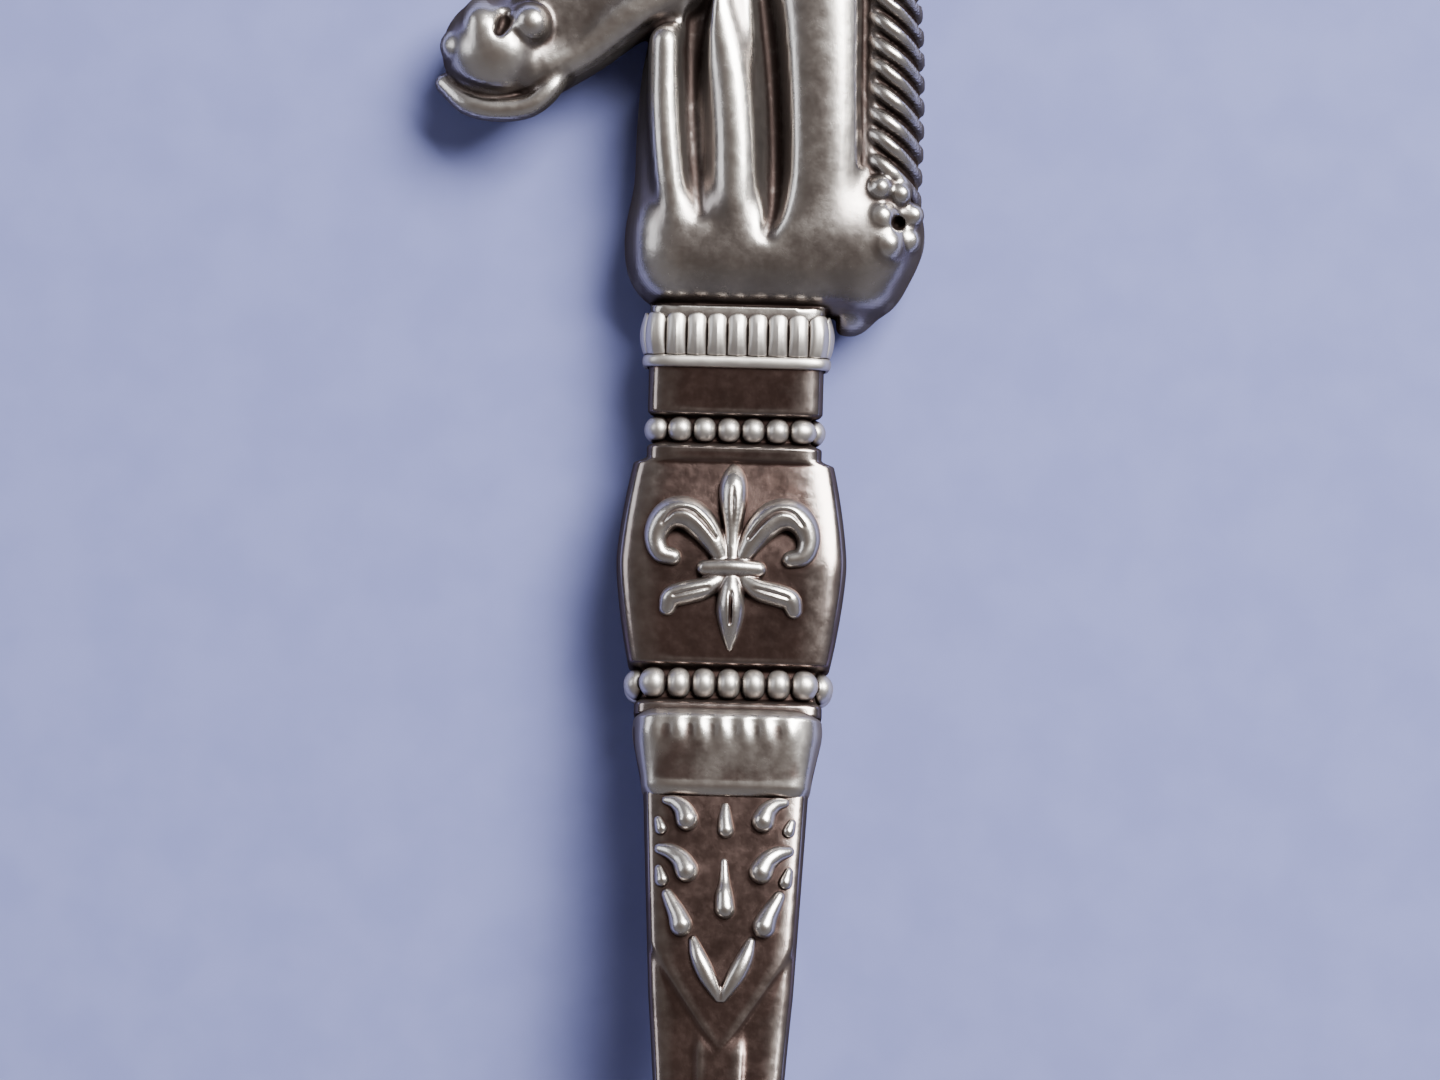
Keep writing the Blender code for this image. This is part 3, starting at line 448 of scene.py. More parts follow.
def model_head(clay):
    """Cheek, jaw, face, muzzle with its nostril and lips, eye, ears and forelock."""
    face = [
        on_head(3.5, -2.2, 0, 3.3), on_head(8, -2.5, 0, 3.5), on_head(13, -2.6, 0, 3.0),
        on_head(18, -2.4, 0, 2.5), on_head(21.5, -2.0, 0, 2.3),
    ]
    clay.add(curve(face), blend=0.6, flat=0.72)
    nose = [
        on_head(2, -0.4, 0, 2.1), on_head(9, -0.1, 0, 2.2), on_head(15, -0.8, 0, 1.8),
        on_head(20, -0.8, 0, 1.75),
    ]
    clay.add(curve(nose), blend=0.6)
    clay.add([on_head(*CHEEK, 0.7, 4.2)], blend=0.4, flat=0.55)
    clay.add([(-12.35, 12.9, 0, 2.75)], blend=0.8, flat=0.95)
    jaw = [
        (-2.6, 16.6, 0.5, 1.7), (-5.6, 15.0, 0.6, 1.5), (-8.0, 13.2, 0.3, 1.4),
        (-10.4, 12.0, 0.2, 1.6),
    ]
    clay.add(curve(jaw), blend=0.4)
    hollow = [on_head(12.5, -3.4, 2.9, 1.0), on_head(16, -3.0, 2.9, 0.9), on_head(18.5, -2.7, 2.8, 0.6)]
    clay.cut(curve(hollow), blend=0.6, flat=0.9)
    crest = [on_head(9.5, -1.9, 2.0, 0.5), on_head(13, -1.7, 1.9, 0.5), on_head(16.5, -1.4, 1.6, 0.4)]
    clay.add(curve(crest), blend=0.5)
    # The crease round the back and foot of the cheek.
    cx, cy, _, _ = on_head(*CHEEK, 0, 0)
    turn = np.radians(np.arange(205, 372, 4))
    crease = [(cx + 4.25 * math.cos(a), cy + 4.25 * math.sin(a), 2.6, 0.3) for a in turn]
    clay.cut(crease, blend=0.3, flat=2.2)
    # Muzzle: nostril between two swellings, then the lips.
    clay.add(curve([(-13.1, 14.8, 0.9, 0.7), (-13.1, 14.1, 1.6, 0.8), (-12.9, 13.3, 1.75, 0.6)]), blend=0.4)
    clay.add([(-10.6, 14.1, 1.7, 1.0)], blend=0.35)
    nostril = [(-12.0, 14.9, 2.5, 0.2), (-11.9, 14.2, 2.6, 0.42), (-12.1, 13.6, 2.6, 0.28)]
    clay.cut(curve(nostril), blend=0.2, flat=2.0)
    clay.add([(-14.4, 13.0, 0.9, 0.75)], blend=0.3)
    mouth = [
        (-15.5, 12.3, 0.9, 0.3), (-14.6, 11.4, 1.6, 0.34), (-13.2, 10.75, 2.0, 0.34),
        (-11.2, 10.6, 2.1, 0.34), (-10.0, 11.4, 2.3, 0.32), (-9.4, 12.7, 2.5, 0.22),
    ]
    clay.cut(curve(mouth), blend=0.15, flat=1.8)
    lip = [
        (-14.9, 11.2, 0.3, 0.5), (-13.7, 10.2, 0.8, 0.6), (-12.2, 9.9, 1.0, 0.62),
        (-10.7, 10.1, 1.1, 0.6), (-9.7, 10.9, 1.1, 0.6), (-9.0, 12.0, 0.9, 0.5),
    ]
    clay.add(curve(lip), blend=0.2)
    # Eye, between its lids.
    ex, ey, _, _ = on_head(*EYE, 0, 0)
    clay.cut([(ex, ey, 2.6, 1.0)], blend=0.4, flat=0.7)
    clay.add([(ex, ey, 1.75, 0.62)], blend=0.05)
    for side in (1, -1):
        lid = []
        for t in np.linspace(-1, 1, 9):
            along = EYE[0] + 1.15 * t
            up = EYE[1] + side * 0.62 * (1 - t * t) - 0.15 * t
            x, y, _, _ = on_head(along, up, 0, 0)
            lid.append((x, y, 2.1 - 0.25 * t * t, 0.2))
        clay.add(lid, blend=0.08)
    brow = [on_head(6.6, 0.6, 1.9, 0.4), on_head(8.4, 0.9, 2.0, 0.45), on_head(10.4, 0.4, 1.8, 0.3)]
    clay.add(curve(brow), blend=0.3)
    # Ears, pricked, and the forelock between them.
    for side in (1, -1):
        ear = [
            (3.7, 28.3, 1.0, 1.0), (4.2, 29.6, 1.2, 1.35), (4.9, 31.0, 1.25, 1.1),
            (5.6, 32.3, 1.1, 0.35),
        ]
        clay.add([(x, y, z * side, r) for x, y, z, r in curve(ear)], blend=0.25, flat=0.8)
    inside = [
        (3.9, 28.8, 2.45, 0.3), (4.3, 29.9, 2.5, 0.62), (4.9, 31.0, 2.3, 0.45),
        (5.4, 31.9, 2.0, 0.15),
    ]
    clay.cut(curve(inside), blend=0.15)
    for k in range(4):
        start = on_head(0.2 + 0.5 * k, 0.4, 0.6 + 0.5 * k, 0.3)
        middle = on_head(2.2 + 0.5 * k, 1.6 - 0.3 * k, 1.0 + 0.4 * k, 0.42)
        end = on_head(4.6 + 0.4 * k, 1.4 - 0.6 * k, 1.1 + 0.4 * k, 0.16)
        clay.add(curve([start, middle, end]), blend=0.08)


def make_figure(material):
    """The cast figure, flat behind where it lies on the table, with a tenon in the top of the collar."""
    voxel = 0.14
    clay = Clay((-16.6, -2.2, TABLE - 0.5), (10.6, 33.6, 4.4), voxel)
    model_neck(clay)
    model_mane(clay)
    model_head(clay)
    x, y, z = np.meshgrid(*(a.astype(np.float32) for a in clay.axes), indexing="ij", sparse=True)
    clay.keep(TABLE - z, blend=0.25)
    # The bust ends level on the collar, but its corner hangs down beside the collar.
    beside_collar = 4.95
    clay.keep(np.minimum(SOLDER_GAP - y, beside_collar - x), blend=0.2)
    across, through = np.abs(x) / NECK[0], np.abs(z) / NECK[1]
    tenon = NECK[1] * ((across**SECTION_POWER + through**SECTION_POWER) ** (1 / SECTION_POWER) - 1)
    tenon_top = 0.35
    tenon = np.maximum(np.maximum(tenon, -TENON_LENGTH - y), y - tenon_top)
    clay.field = np.minimum(clay.field, tenon).astype(np.float32)
    points, faces = clay.skin()
    return make_piece("horse_head_figure", to_world(points, bent=False), faces, "horse_head", material)


# Rings and the handle.


def front(x, y):
    """How far the handle's front stands off its middle line at (x, y)."""
    half_width, half_thickness = half_size(y)
    share = np.clip(np.abs(x) / half_width, 0, 0.97)
    return half_thickness * (1 - share**SECTION_POWER) ** (1 / SECTION_POWER)


def smooth_step(low, high, value):
    """0 up to low and 1 from high on, with a smooth climb between. low may be the greater."""
    t = np.clip((value - low) / (high - low), 0, 1)
    return t * t * (3 - 2 * t)


def soft_sizes(stations):
    """The handle's half sizes at each station, with every step in them rounded."""
    radius = 0.09
    total = [np.zeros(stations.shape), np.zeros(stations.shape)]
    offsets = np.linspace(-2, 2, 17)
    weights = np.exp(-(offsets**2) / 2)
    for offset, weight in zip(offsets, weights / weights.sum()):
        for i, size in enumerate(half_size(stations + offset * radius)):
            total[i] += weight * size
    return total


def make_handle(material):
    """The whole handle as one loft: neck, seats, shield, pendant's field, arched shank and lap."""
    top = -TENON_LENGTH - SOLDER_GAP
    fine = np.arange(top, PENDANT_FOOT - 3, -0.07)
    plain = np.linspace(PENDANT_FOOT - 3.1, LAP_END, 210)
    stations = np.concatenate([[top, top], fine[1:], plain, [LAP_END, LAP_END]])
    half_width, half_thickness = soft_sizes(stations)
    count = 132
    # The rings at both ends are drawn in, and the last ones moved, to round the ends off.
    inset = np.zeros(stations.shape)
    inset[0], inset[1] = 0.12, 0.0
    inset[-2], inset[-1] = 0.12, 0.3
    stations[-2:] -= (0.1, 0.16)
    stations[-3:] += 0.16
    # The pendant's field and the band stand off the front by relief, with edges this soft. The field
    # comes to its point at field_tip under the moulding.
    field_tip = 12.6
    relief, soft = 0.12, 0.2
    rings = []
    for y, w, t, cut in zip(stations, half_width, half_thickness, inset):
        x, z, nx, nz = outline(w - cut, t - cut, count)
        ring = np.column_stack([x, np.full(count, y), z])
        facing = smooth_step(0.3, 0.8, nz)
        # The pendant's field ends in a point, and a low band runs on from it down the front of the shank.
        below = MOULDING_FOOT - y
        field = 3.2 * np.clip((field_tip - below) / 4.8, 0, 2)
        point = smooth_step(field + soft, field - soft, np.abs(x)) * smooth_step(-soft, soft, below)
        point = point * (below < 12.8)
        along = smooth_step(11.0, field_tip, below) * smooth_step(HEEL + 1, HEEL + 9, y)
        edge = 1.15 * min(1.0, w / 3.3)
        band = smooth_step(edge + soft, edge - soft, np.abs(x)) * along
        ring[:, 2] += relief * np.maximum(point, band) * facing
        rings.append(ring)
    points = np.concatenate(rings)
    faces = loft_faces(len(rings), count)
    return make_piece("handle", to_world(points), faces, "handle_stem", material)


def swept_ring(name, profile, around, half_width, half_thickness, node, material):
    """A ring round the handle, made of this many sections.

    profile(share of the way round) gives a section from the top down, as (out, y).
    """
    x, z, nx, nz = outline(half_width, half_thickness, around)
    rings = []
    for i in range(around):
        section = reversed(profile(i / around))
        rings.append([(x[i] + nx[i] * out, y, z[i] + nz[i] * out) for out, y in section])
    count = len(rings[0])
    points = np.array(rings).reshape(-1, 3)
    faces = loft_faces(around, count, closed_length=True)
    return make_piece(name, to_world(points), faces, node, material)


def bead_profile(middle, beads, radius):
    """The section of a wire pressed into beads, which stay joined by a thin neck."""
    turn = np.radians(np.linspace(90, -90, 17))

    def profile(share):
        off = 2 * ((share * beads) % 1.0) - 1
        size = radius * math.sqrt(max(1 - (abs(off) * 0.985) ** 2.3, 0.09))
        bulge = [(size * math.cos(a), middle + size * math.sin(a)) for a in turn]
        return [*bulge, (-0.1, middle - 0.3), (-0.1, middle + 0.3)]

    return profile


def ring_length(half_width, half_thickness):
    """The way round a section of this size."""
    x, z, _, _ = outline(half_width, half_thickness, 400)
    return float(np.hypot(x - np.roll(x, 1), z - np.roll(z, 1)).sum())


def make_beads(name, node, box, seat, pitch, material):
    """A row of beads at this pitch, pressed from one wire, in its seat."""
    height = box[1].y - box[0].y
    half_width, half_thickness = seat
    beads = round(ring_length(half_width + height / 3, half_thickness + height / 3) / pitch)
    profile = bead_profile((box[0].y + box[1].y) / 2, beads, min(height, 1.04 * pitch) / 2)
    sections_a_bead = 18
    return swept_ring(name, profile, beads * sections_a_bead, half_width, half_thickness, node, material)


def make_collar(material):
    """Upright leaves, plump and rounded at the tip, with a midrib, over a plain rim."""
    leaves = 24
    sections_a_leaf = 24
    rim = 0.6
    steps = 24

    def profile(share):
        phase = 2 * ((share * leaves + 0.5) % 1.0) - 1
        dome = math.sqrt(max(1 - abs(phase) ** 2.4, 0))
        top = -0.5 + 0.48 * dome
        foot = COLLAR_FOOT + rim
        section = [(SOLDER_GAP, top)]
        for k in range(steps + 1):
            t = k / steps
            y = top + (foot - top) * t
            plump = math.sin(math.pi * (0.08 + 0.84 * t)) ** 0.6
            rib = 0.04 * math.exp(-((phase / 0.15) ** 2)) * smooth_step(0.1, 0.5, t)
            section.append((0.08 + 0.37 * dome * plump + rib, y))
        for a in np.radians(np.linspace(90, -90, 9)):
            section.append((0.1 + 0.24 * math.cos(a) ** 0.6, foot - rim / 2 * (1 - math.sin(a))))
        section.append((SOLDER_GAP, COLLAR_FOOT))
        return section

    return swept_ring("leaf_collar_band", profile, leaves * sections_a_leaf, *NECK, "leaf_collar", material)


def make_cushion(material):
    """The moulding under the lower beads: a lobed shoulder over a taper that turns in at its foot."""
    top, foot = CUSHION[1].y, CUSHION[0].y
    half_width = PENDANT_TOP[0] - MOULDING_SEAT + SOLDER_GAP
    half_thickness = PENDANT_TOP[1] + SOLDER_GAP
    around = 480
    lobe_pitch = 1.35
    lobes = round(ring_length(half_width + 0.8, half_thickness + 0.8) / lobe_pitch)
    top_out = CUSHION[1].x - half_width
    steps = 40

    def profile(share):
        lobe = 0.5 + 0.5 * math.cos(2 * math.pi * share * lobes)
        section = []
        for k in range(steps + 1):
            t = k / steps
            y = top + (foot - top) * t
            base = top_out * (1 - 0.55 * smooth_step(0.22, 1.0, t)) * min(1.0, (0.05 + 8 * t) ** 0.5)
            out = base * min(1.0, (0.02 + 9 * (1 - t)) ** 0.5)
            swell = math.exp(-(((t - 0.26) / 0.14) ** 2))
            out += swell * (0.1 * lobe - 0.03)
            section.append((out, y))
        section.append((0.0, foot))
        section.append((0.0, top))
        return section

    seat = (half_width, half_thickness)
    return swept_ring("cushion_band", profile, around, *seat, "cushion_moulding", material)


def mirrored(strokes):
    """These strokes, and after them the same ones on the other side."""
    return strokes + [[(-x, y, z, r) for x, y, z, r in points] for points in strokes]


def make_relief(name, node, strokes, grooves, top, material):
    """An ornament in low relief, sunk a little into the handle's front and bent with it."""
    voxel = 0.055
    heights = [y for stroke in strokes for _, y, _, _ in stroke]
    reach = 5.9
    clay = Clay((-reach, min(heights) - 1, -0.6), (reach, max(heights) + 1, 1.5), voxel)
    for stroke in strokes:
        clay.add(curve(stroke), blend=0.09, flat=0.95)
    for stroke in grooves:
        clay.cut(curve(stroke), blend=0.06, flat=1.4)
    z = clay.axes[2].astype(np.float32)[None, None, :]
    sunk = 0.25
    clay.keep(-sunk - z, blend=0.05)
    # Without this, two points can fall almost together, and leave a stray sliver in the mesh.
    clay.soften(0.7 * voxel)
    points, faces = clay.skin()
    points[:, 1] += top
    points[:, 2] += front(points[:, 0], points[:, 1])
    return make_piece(name, to_world(points), faces, node, material)


def make_fleur(material):
    """A fleur-de-lis: a long petal, two that curl over, a band across, a stem and two feet."""
    centre = [
        [
            (0, -0.3, -0.05, 0.2), (0.02, -0.8, 0.14, 0.52), (0, -1.4, 0.24, 0.7),
            (0, -2.4, 0.22, 0.66), (0, -3.8, 0.12, 0.45), (0, -5.3, 0.12, 0.36),
        ],
        [
            (0, -6.0, 0.12, 0.42), (0, -6.9, 0.2, 0.64), (0, -7.7, 0.2, 0.7),
            (0, -8.7, 0.08, 0.46), (0, -9.5, -0.05, 0.16),
        ],
        [(-1.3, -5.6, 0.2, 0.42), (0, -5.55, 0.3, 0.44), (1.3, -5.6, 0.2, 0.42)],
    ]
    petal = [
        (0.5, -5.1, 0.1, 0.4),
        (0.95, -4.2, 0.2, 0.6),
        (1.5, -3.4, 0.28, 0.78),
        (2.15, -2.85, 0.3, 0.86),
        (2.9, -2.8, 0.3, 0.82),
        (3.5, -3.3, 0.24, 0.7),
        (3.75, -4.1, 0.18, 0.58),
        (3.5, -4.85, 0.16, 0.5),
        (2.9, -5.05, 0.16, 0.44),
    ]
    foot = [
        (0.5, -6.1, 0.1, 0.4), (1.3, -6.6, 0.18, 0.54), (2.2, -6.85, 0.2, 0.58),
        (2.9, -7.1, 0.16, 0.54), (3.1, -7.6, 0.1, 0.42),
    ]
    petal_vein = [
        (0.8, -4.1, 0.75, 0.08), (1.45, -3.25, 1.05, 0.14), (2.15, -2.7, 1.17, 0.16),
        (2.9, -2.75, 1.12, 0.13), (3.45, -3.4, 0.94, 0.08),
    ]
    foot_vein = [(1.1, -6.6, 0.72, 0.08), (2.1, -6.85, 0.8, 0.11), (2.8, -7.05, 0.72, 0.08)]
    spine = [
        [(0, -1.4, 0.98, 0.07), (0, -2.4, 0.94, 0.13), (0, -4.4, 0.6, 0.08)],
        [(0, -6.8, 0.88, 0.1), (0, -8.4, 0.66, 0.08)],
    ]
    strokes = centre + mirrored([petal, foot])
    grooves = mirrored([petal_vein, foot_vein]) + spine
    return make_relief("fleur_ornament", "fleur_de_lis", strokes, grooves, SHIELD_TOP, material)


def make_pendant(material):
    """Pairs of comma scrolls beside two drops, over a leaf of two halves that meet in a point."""
    commas = [
        [
            (1.85, -1.45, 0.28, 0.56), (2.05, -1.0, 0.2, 0.46), (2.45, -0.65, 0.1, 0.34),
            (2.9, -0.55, 0.02, 0.22),
        ],
        [
            (1.8, -3.85, 0.3, 0.58), (2.1, -3.35, 0.2, 0.48), (2.6, -3.0, 0.12, 0.38),
            (3.15, -2.85, 0.02, 0.26),
        ],
        [
            (2.0, -6.4, 0.28, 0.56), (2.2, -5.9, 0.2, 0.46), (2.45, -5.45, 0.12, 0.38),
            (2.7, -5.0, 0.04, 0.3),
        ],
        [(3.1, -1.9, 0.05, 0.32), (3.25, -1.5, 0.02, 0.22)],
        [(3.0, -4.3, 0.05, 0.36), (3.15, -3.8, 0.02, 0.22)],
    ]
    leaf = [
        (1.4, -7.1, 0.0, 0.24), (1.15, -7.8, 0.12, 0.4), (0.75, -8.6, 0.16, 0.44),
        (0.35, -9.3, 0.1, 0.34), (0.12, -9.8, 0.0, 0.2),
    ]
    centre = [
        [(0, -0.8, -0.08, 0.24), (0, -1.4, 0.0, 0.36), (0.05, -1.9, 0.08, 0.42)],
        [(0, -3.4, -0.1, 0.2), (0.05, -4.4, 0.02, 0.3), (0.05, -5.0, 0.14, 0.44), (0.1, -5.6, 0.2, 0.5)],
    ]
    raised = 0.12
    strokes = centre + mirrored([*commas, leaf])
    strokes = [[(x, y, z + raised, r) for x, y, z, r in stroke] for stroke in strokes]
    return make_relief("pendant_ornament", "pendant_drop", strokes, [], MOULDING_FOOT, material)


# The bowl.

BOWL_MIDDLE = (BOWL[0].y + BOWL[1].y) / 2


def make_bowl(material):
    """An egg-shaped bowl with an even wall and a rounded rim."""
    half_width, half_length = 13.5, 21.0
    # How far the wall's thickness takes the rim up beyond the edge of the outside.
    rim_rise = 1.0
    rim_height = BOWL[1].z - TABLE - rim_rise
    rim_round = 0.35
    wall = 1.1
    # How much broader it is towards the handle, and how late its sides climb.
    egg, power = 0.16, 2.4
    around, rows = 256, 60

    def point(share, angle):
        along = share * np.cos(angle)
        width = half_width * (1 + egg * along)
        height = np.full(angle.shape, rim_height * share**power)
        return np.column_stack([width * share * np.sin(angle), BOWL_MIDDLE + along * half_length, height])

    turn = 2 * np.pi * np.arange(around) / around
    outside, inside = [], []
    for k in range(1, rows + 1):
        share = (k / rows) ** 0.85
        here = point(share, turn)
        step = 1e-3
        down = point(share - step, turn) - here
        side = point(share, turn + step) - here
        normal = np.cross(side, down)
        normal /= np.linalg.norm(normal, axis=1)[:, None]
        normal *= np.sign(normal[:, 2:3])
        outside.append(here)
        inside.append(here + normal * wall)
    rim = []
    outer, inner = outside[-1], inside[-1]
    middle, half = (outer + inner) / 2, (inner - outer) / 2
    out = np.cross(np.roll(outer, -1, 0) - outer, half)
    out /= np.linalg.norm(out, axis=1)[:, None]
    centre = np.array([0, BOWL_MIDDLE, rim_height])
    out *= np.sign(np.einsum("ij,ij->i", out, outer - centre))[:, None]
    for a in np.radians(np.arange(22.5, 180, 22.5)):
        rim.append(middle - half * math.cos(a) + out * math.sin(a) * rim_round)
    rings = [*outside, *rim, *reversed(inside)]
    points = np.concatenate([np.array([[0, BOWL_MIDDLE, 0.0]]), *rings, np.array([[0, BOWL_MIDDLE, wall]])])
    faces = [(0, 1 + j, 1 + (j + 1) % around) for j in range(around)]
    for i in range(len(rings) - 1):
        a, b = 1 + i * around, 1 + (i + 1) * around
        for j in range(around):
            k = (j + 1) % around
            faces.append((a + j, b + j, b + k, a + k))
    last, end = 1 + (len(rings) - 1) * around, len(points) - 1
    faces += [(end, last + (j + 1) % around, last + j) for j in range(around)]
    points[:, 2] += TABLE
    return make_piece("spoon_bowl", to_world(points, bent=False), faces, "bowl", material)


# Materials.


def linear(r, g, b):
    """A display colour, 0 to 255, as the shader's own linear one."""
    return tuple(((c / 255 + 0.055) / 1.055) ** 2.4 if c > 10 else c / 3294 for c in (r, g, b)) + (1.0,)


RANGE_SOCKETS = ("From Min", "From Max", "To Min", "To Max")


class Nodes:
    """A material's node tree, with short ways to add what the metals need."""

    def __init__(self, name):
        self.material = bpy.data.materials.new(name)
        self.material.use_nodes = True
        self.tree = self.material.node_tree
        self.shader = self.tree.nodes["Principled BSDF"]
        self.place = self.tree.nodes.new("ShaderNodeTexCoord").outputs["Object"]

    def link(self, source, target):
        """Links a socket to another, or sets it to a number."""
        if isinstance(source, (int, float)):
            target.default_value = source
        else:
            self.tree.links.new(source, target)

    def noise(self, scale, detail=3.0, roughness=0.5, stretch=(1, 1, 1), turn=(0, 0, 0)):
        """Noise with about this many features a millimetre, drawn out along axes where stretch is small."""
        mapping = self.tree.nodes.new("ShaderNodeMapping")
        mapping.inputs["Scale"].default_value = [k / MM for k in stretch]
        mapping.inputs["Rotation"].default_value = turn
        self.link(self.place, mapping.inputs["Vector"])
        node = self.tree.nodes.new("ShaderNodeTexNoise")
        node.inputs["Scale"].default_value = scale
        node.inputs["Detail"].default_value = detail
        node.inputs["Roughness"].default_value = roughness
        self.link(mapping.outputs["Vector"], node.inputs["Vector"])
        return node.outputs["Fac"]

    def maths(self, operation, a, b=0.0):
        node = self.tree.nodes.new("ShaderNodeMath")
        node.operation = operation
        node.use_clamp = operation in ("ADD", "SUBTRACT")
        self.link(a, node.inputs[0])
        self.link(b, node.inputs[1])
        return node.outputs[0]

    def remap(self, value, low, high, new_low=0.0, new_high=1.0):
        node = self.tree.nodes.new("ShaderNodeMapRange")
        node.interpolation_type = "SMOOTHSTEP"
        for socket, number in zip(RANGE_SOCKETS, (low, high, new_low, new_high)):
            node.inputs[socket].default_value = number
        self.link(value, node.inputs["Value"])
        return node.outputs["Result"]

    def mix(self, share, first, second):
        node = self.tree.nodes.new("ShaderNodeMix")
        node.data_type = "RGBA"
        self.link(share, node.inputs["Factor"])
        for colour, socket in ((first, node.inputs[6]), (second, node.inputs[7])):
            if isinstance(colour, tuple):
                socket.default_value = colour
            else:
                self.link(colour, socket)
        return node.outputs[2]

    def shade(self, distance):
        """How open the surface is to what is around it, within this many millimetres."""
        node = self.tree.nodes.new("ShaderNodeAmbientOcclusion")
        node.samples = 8
        # The floor and the other pieces count as well, so near them this gives painted shade.
        node.only_local = False
        node.inputs["Distance"].default_value = distance * MM
        return node.outputs["AO"]

    def hollow(self):
        """The mesh's own measure of how far a point lies in a hollow: 0.5 on a flat stretch."""
        node = self.tree.nodes.new("ShaderNodeAttribute")
        node.attribute_name = "hollow"
        return node.outputs["Fac"]

    def facing(self):
        """How level the surface is: 1 where it faces up or down, 0 on an upright side."""
        split = self.tree.nodes.new("ShaderNodeSeparateXYZ")
        geometry = self.tree.nodes.new("ShaderNodeNewGeometry")
        self.link(geometry.outputs["True Normal"], split.inputs["Vector"])
        return self.maths("ABSOLUTE", split.outputs["Z"])

    def bump(self, height, depth, normal=None):
        """Bumps this many micrometres deep."""
        node = self.tree.nodes.new("ShaderNodeBump")
        node.inputs["Strength"].default_value = 1.0
        node.inputs["Distance"].default_value = depth * 1e-6
        self.link(height, node.inputs["Height"])
        if normal is not None:
            self.link(normal, node.inputs["Normal"])
        return node.outputs["Normal"]


def antique_silver(name, tarnish, bare, dull, edges=1.0, sides=0.92, reach=1.4, scratches=(1, 1, 1)):
    """Silver with black patina left in its hollows and a film of tarnish over it, worn bright on its high
    points.
    The same black is painted shade where the table or another piece comes close, and upright sides get
    painted shade.

    bare is how far it is polished all over, dull how much is added to its roughness, edges how far
    its corners are polished, sides how far its upright sides are darkened with painted shade and made
    rougher, and reach how far, in millimetres, the black spreads out of a hollow and the painted shade out
    from the table.
    """
    # Polished silver; a grey-brown painted as shade on upright sides; and a black that is patina in hollows
    # and painted shade near the table and other pieces.
    polished, painted_side_shade, patina_and_shade_black = linear(226, 221, 215), linear(98, 92, 89), linear(44, 32, 29)
    nodes = Nodes(name)
    bloom = nodes.noise(0.3, detail=5.0, roughness=0.62)
    mottle = nodes.noise(1.7, detail=4.0, roughness=0.6)
    hollow = nodes.hollow()
    # Black patina in concave hollows, plus painted shade wherever the table or another piece comes within
    # reach.
    patina_and_shade = nodes.maths("SUBTRACT", 1.0, nodes.remap(nodes.shade(reach), 0.3, 0.92))
    patina_and_shade = nodes.maths("ADD", patina_and_shade, nodes.remap(hollow, 0.53, 0.78, 0.0, 0.8))
    patina_and_shade = nodes.maths("MULTIPLY", patina_and_shade, nodes.remap(mottle, 0.2, 0.75, 0.75, 1.1))
    worn = nodes.maths("MULTIPLY", nodes.remap(hollow, 0.5, 0.36), nodes.remap(mottle, 0.2, 0.6, 0.75, 1.0))
    worn = nodes.maths("MULTIPLY", worn, edges)
    worn = nodes.maths("ADD", worn, nodes.remap(bloom, 0.42, 0.7, 0.0, 0.3 * edges))
    worn = nodes.maths("ADD", worn, bare)
    worn = nodes.maths("SUBTRACT", worn, patina_and_shade)
    black = nodes.remap(patina_and_shade, 0.3, 0.9)
    # Painted shade: upright sides are darkened towards a grey-brown and made rougher.
    upright = nodes.maths("MULTIPLY", nodes.remap(nodes.facing(), 0.78, 0.5), sides)
    worn = nodes.maths("SUBTRACT", worn, upright)
    colour = nodes.mix(nodes.remap(bloom, 0.3, 0.7), linear(*tarnish[0]), linear(*tarnish[1]))
    # Upright sides take the painted side shade, polish goes over it, then the black patina that is also
    # painted shade near the table.
    colour = nodes.mix(upright, colour, painted_side_shade)
    colour = nodes.mix(worn, colour, polished)
    colour = nodes.mix(nodes.maths("MULTIPLY", black, 0.93), colour, patina_and_shade_black)
    nodes.link(colour, nodes.shader.inputs["Base Color"])
    nodes.shader.inputs["Metallic"].default_value = 1.0
    nodes.shader.inputs["Specular Tint"].default_value = (0.25, 0.21, 0.19, 1)
    rough = nodes.remap(mottle, 0.3, 0.75, 0.14 + dull, 0.2 + dull)
    rough = nodes.maths("ADD", rough, nodes.maths("MULTIPLY", black, 0.3))
    rough = nodes.maths("ADD", rough, nodes.maths("MULTIPLY", upright, 0.35))
    nodes.link(rough, nodes.shader.inputs["Roughness"])
    waves = nodes.bump(nodes.noise(0.8, detail=2.0), 18)
    pits = nodes.bump(nodes.remap(nodes.noise(4.0, detail=3.0, roughness=0.6), 0.25, 0.5), 1.5, waves)
    lines = nodes.bump(nodes.noise(9.0, detail=2.0, stretch=scratches, turn=(0, 0, 0.2)), 1.0, pits)
    nodes.link(nodes.bump(nodes.noise(14.0, detail=2.0), 0.4, lines), nodes.shader.inputs["Normal"])
    return nodes.material


def peg_brass(name):
    """Drawn brass rod: turned lines round it, and a dull, blotched skin."""
    nodes = Nodes(name)
    blotch = nodes.noise(0.8, detail=4.0)
    lines = nodes.noise(6.0, detail=2.0, stretch=(0.15, 3.0, 0.15))
    colour = nodes.mix(nodes.remap(blotch, 0.35, 0.7), linear(205, 172, 98), linear(140, 104, 58))
    nodes.link(colour, nodes.shader.inputs["Base Color"])
    nodes.shader.inputs["Metallic"].default_value = 1.0
    nodes.link(nodes.remap(blotch, 0.3, 0.7, 0.28, 0.46), nodes.shader.inputs["Roughness"])
    nodes.link(nodes.bump(lines, 6), nodes.shader.inputs["Normal"])
    return nodes.material


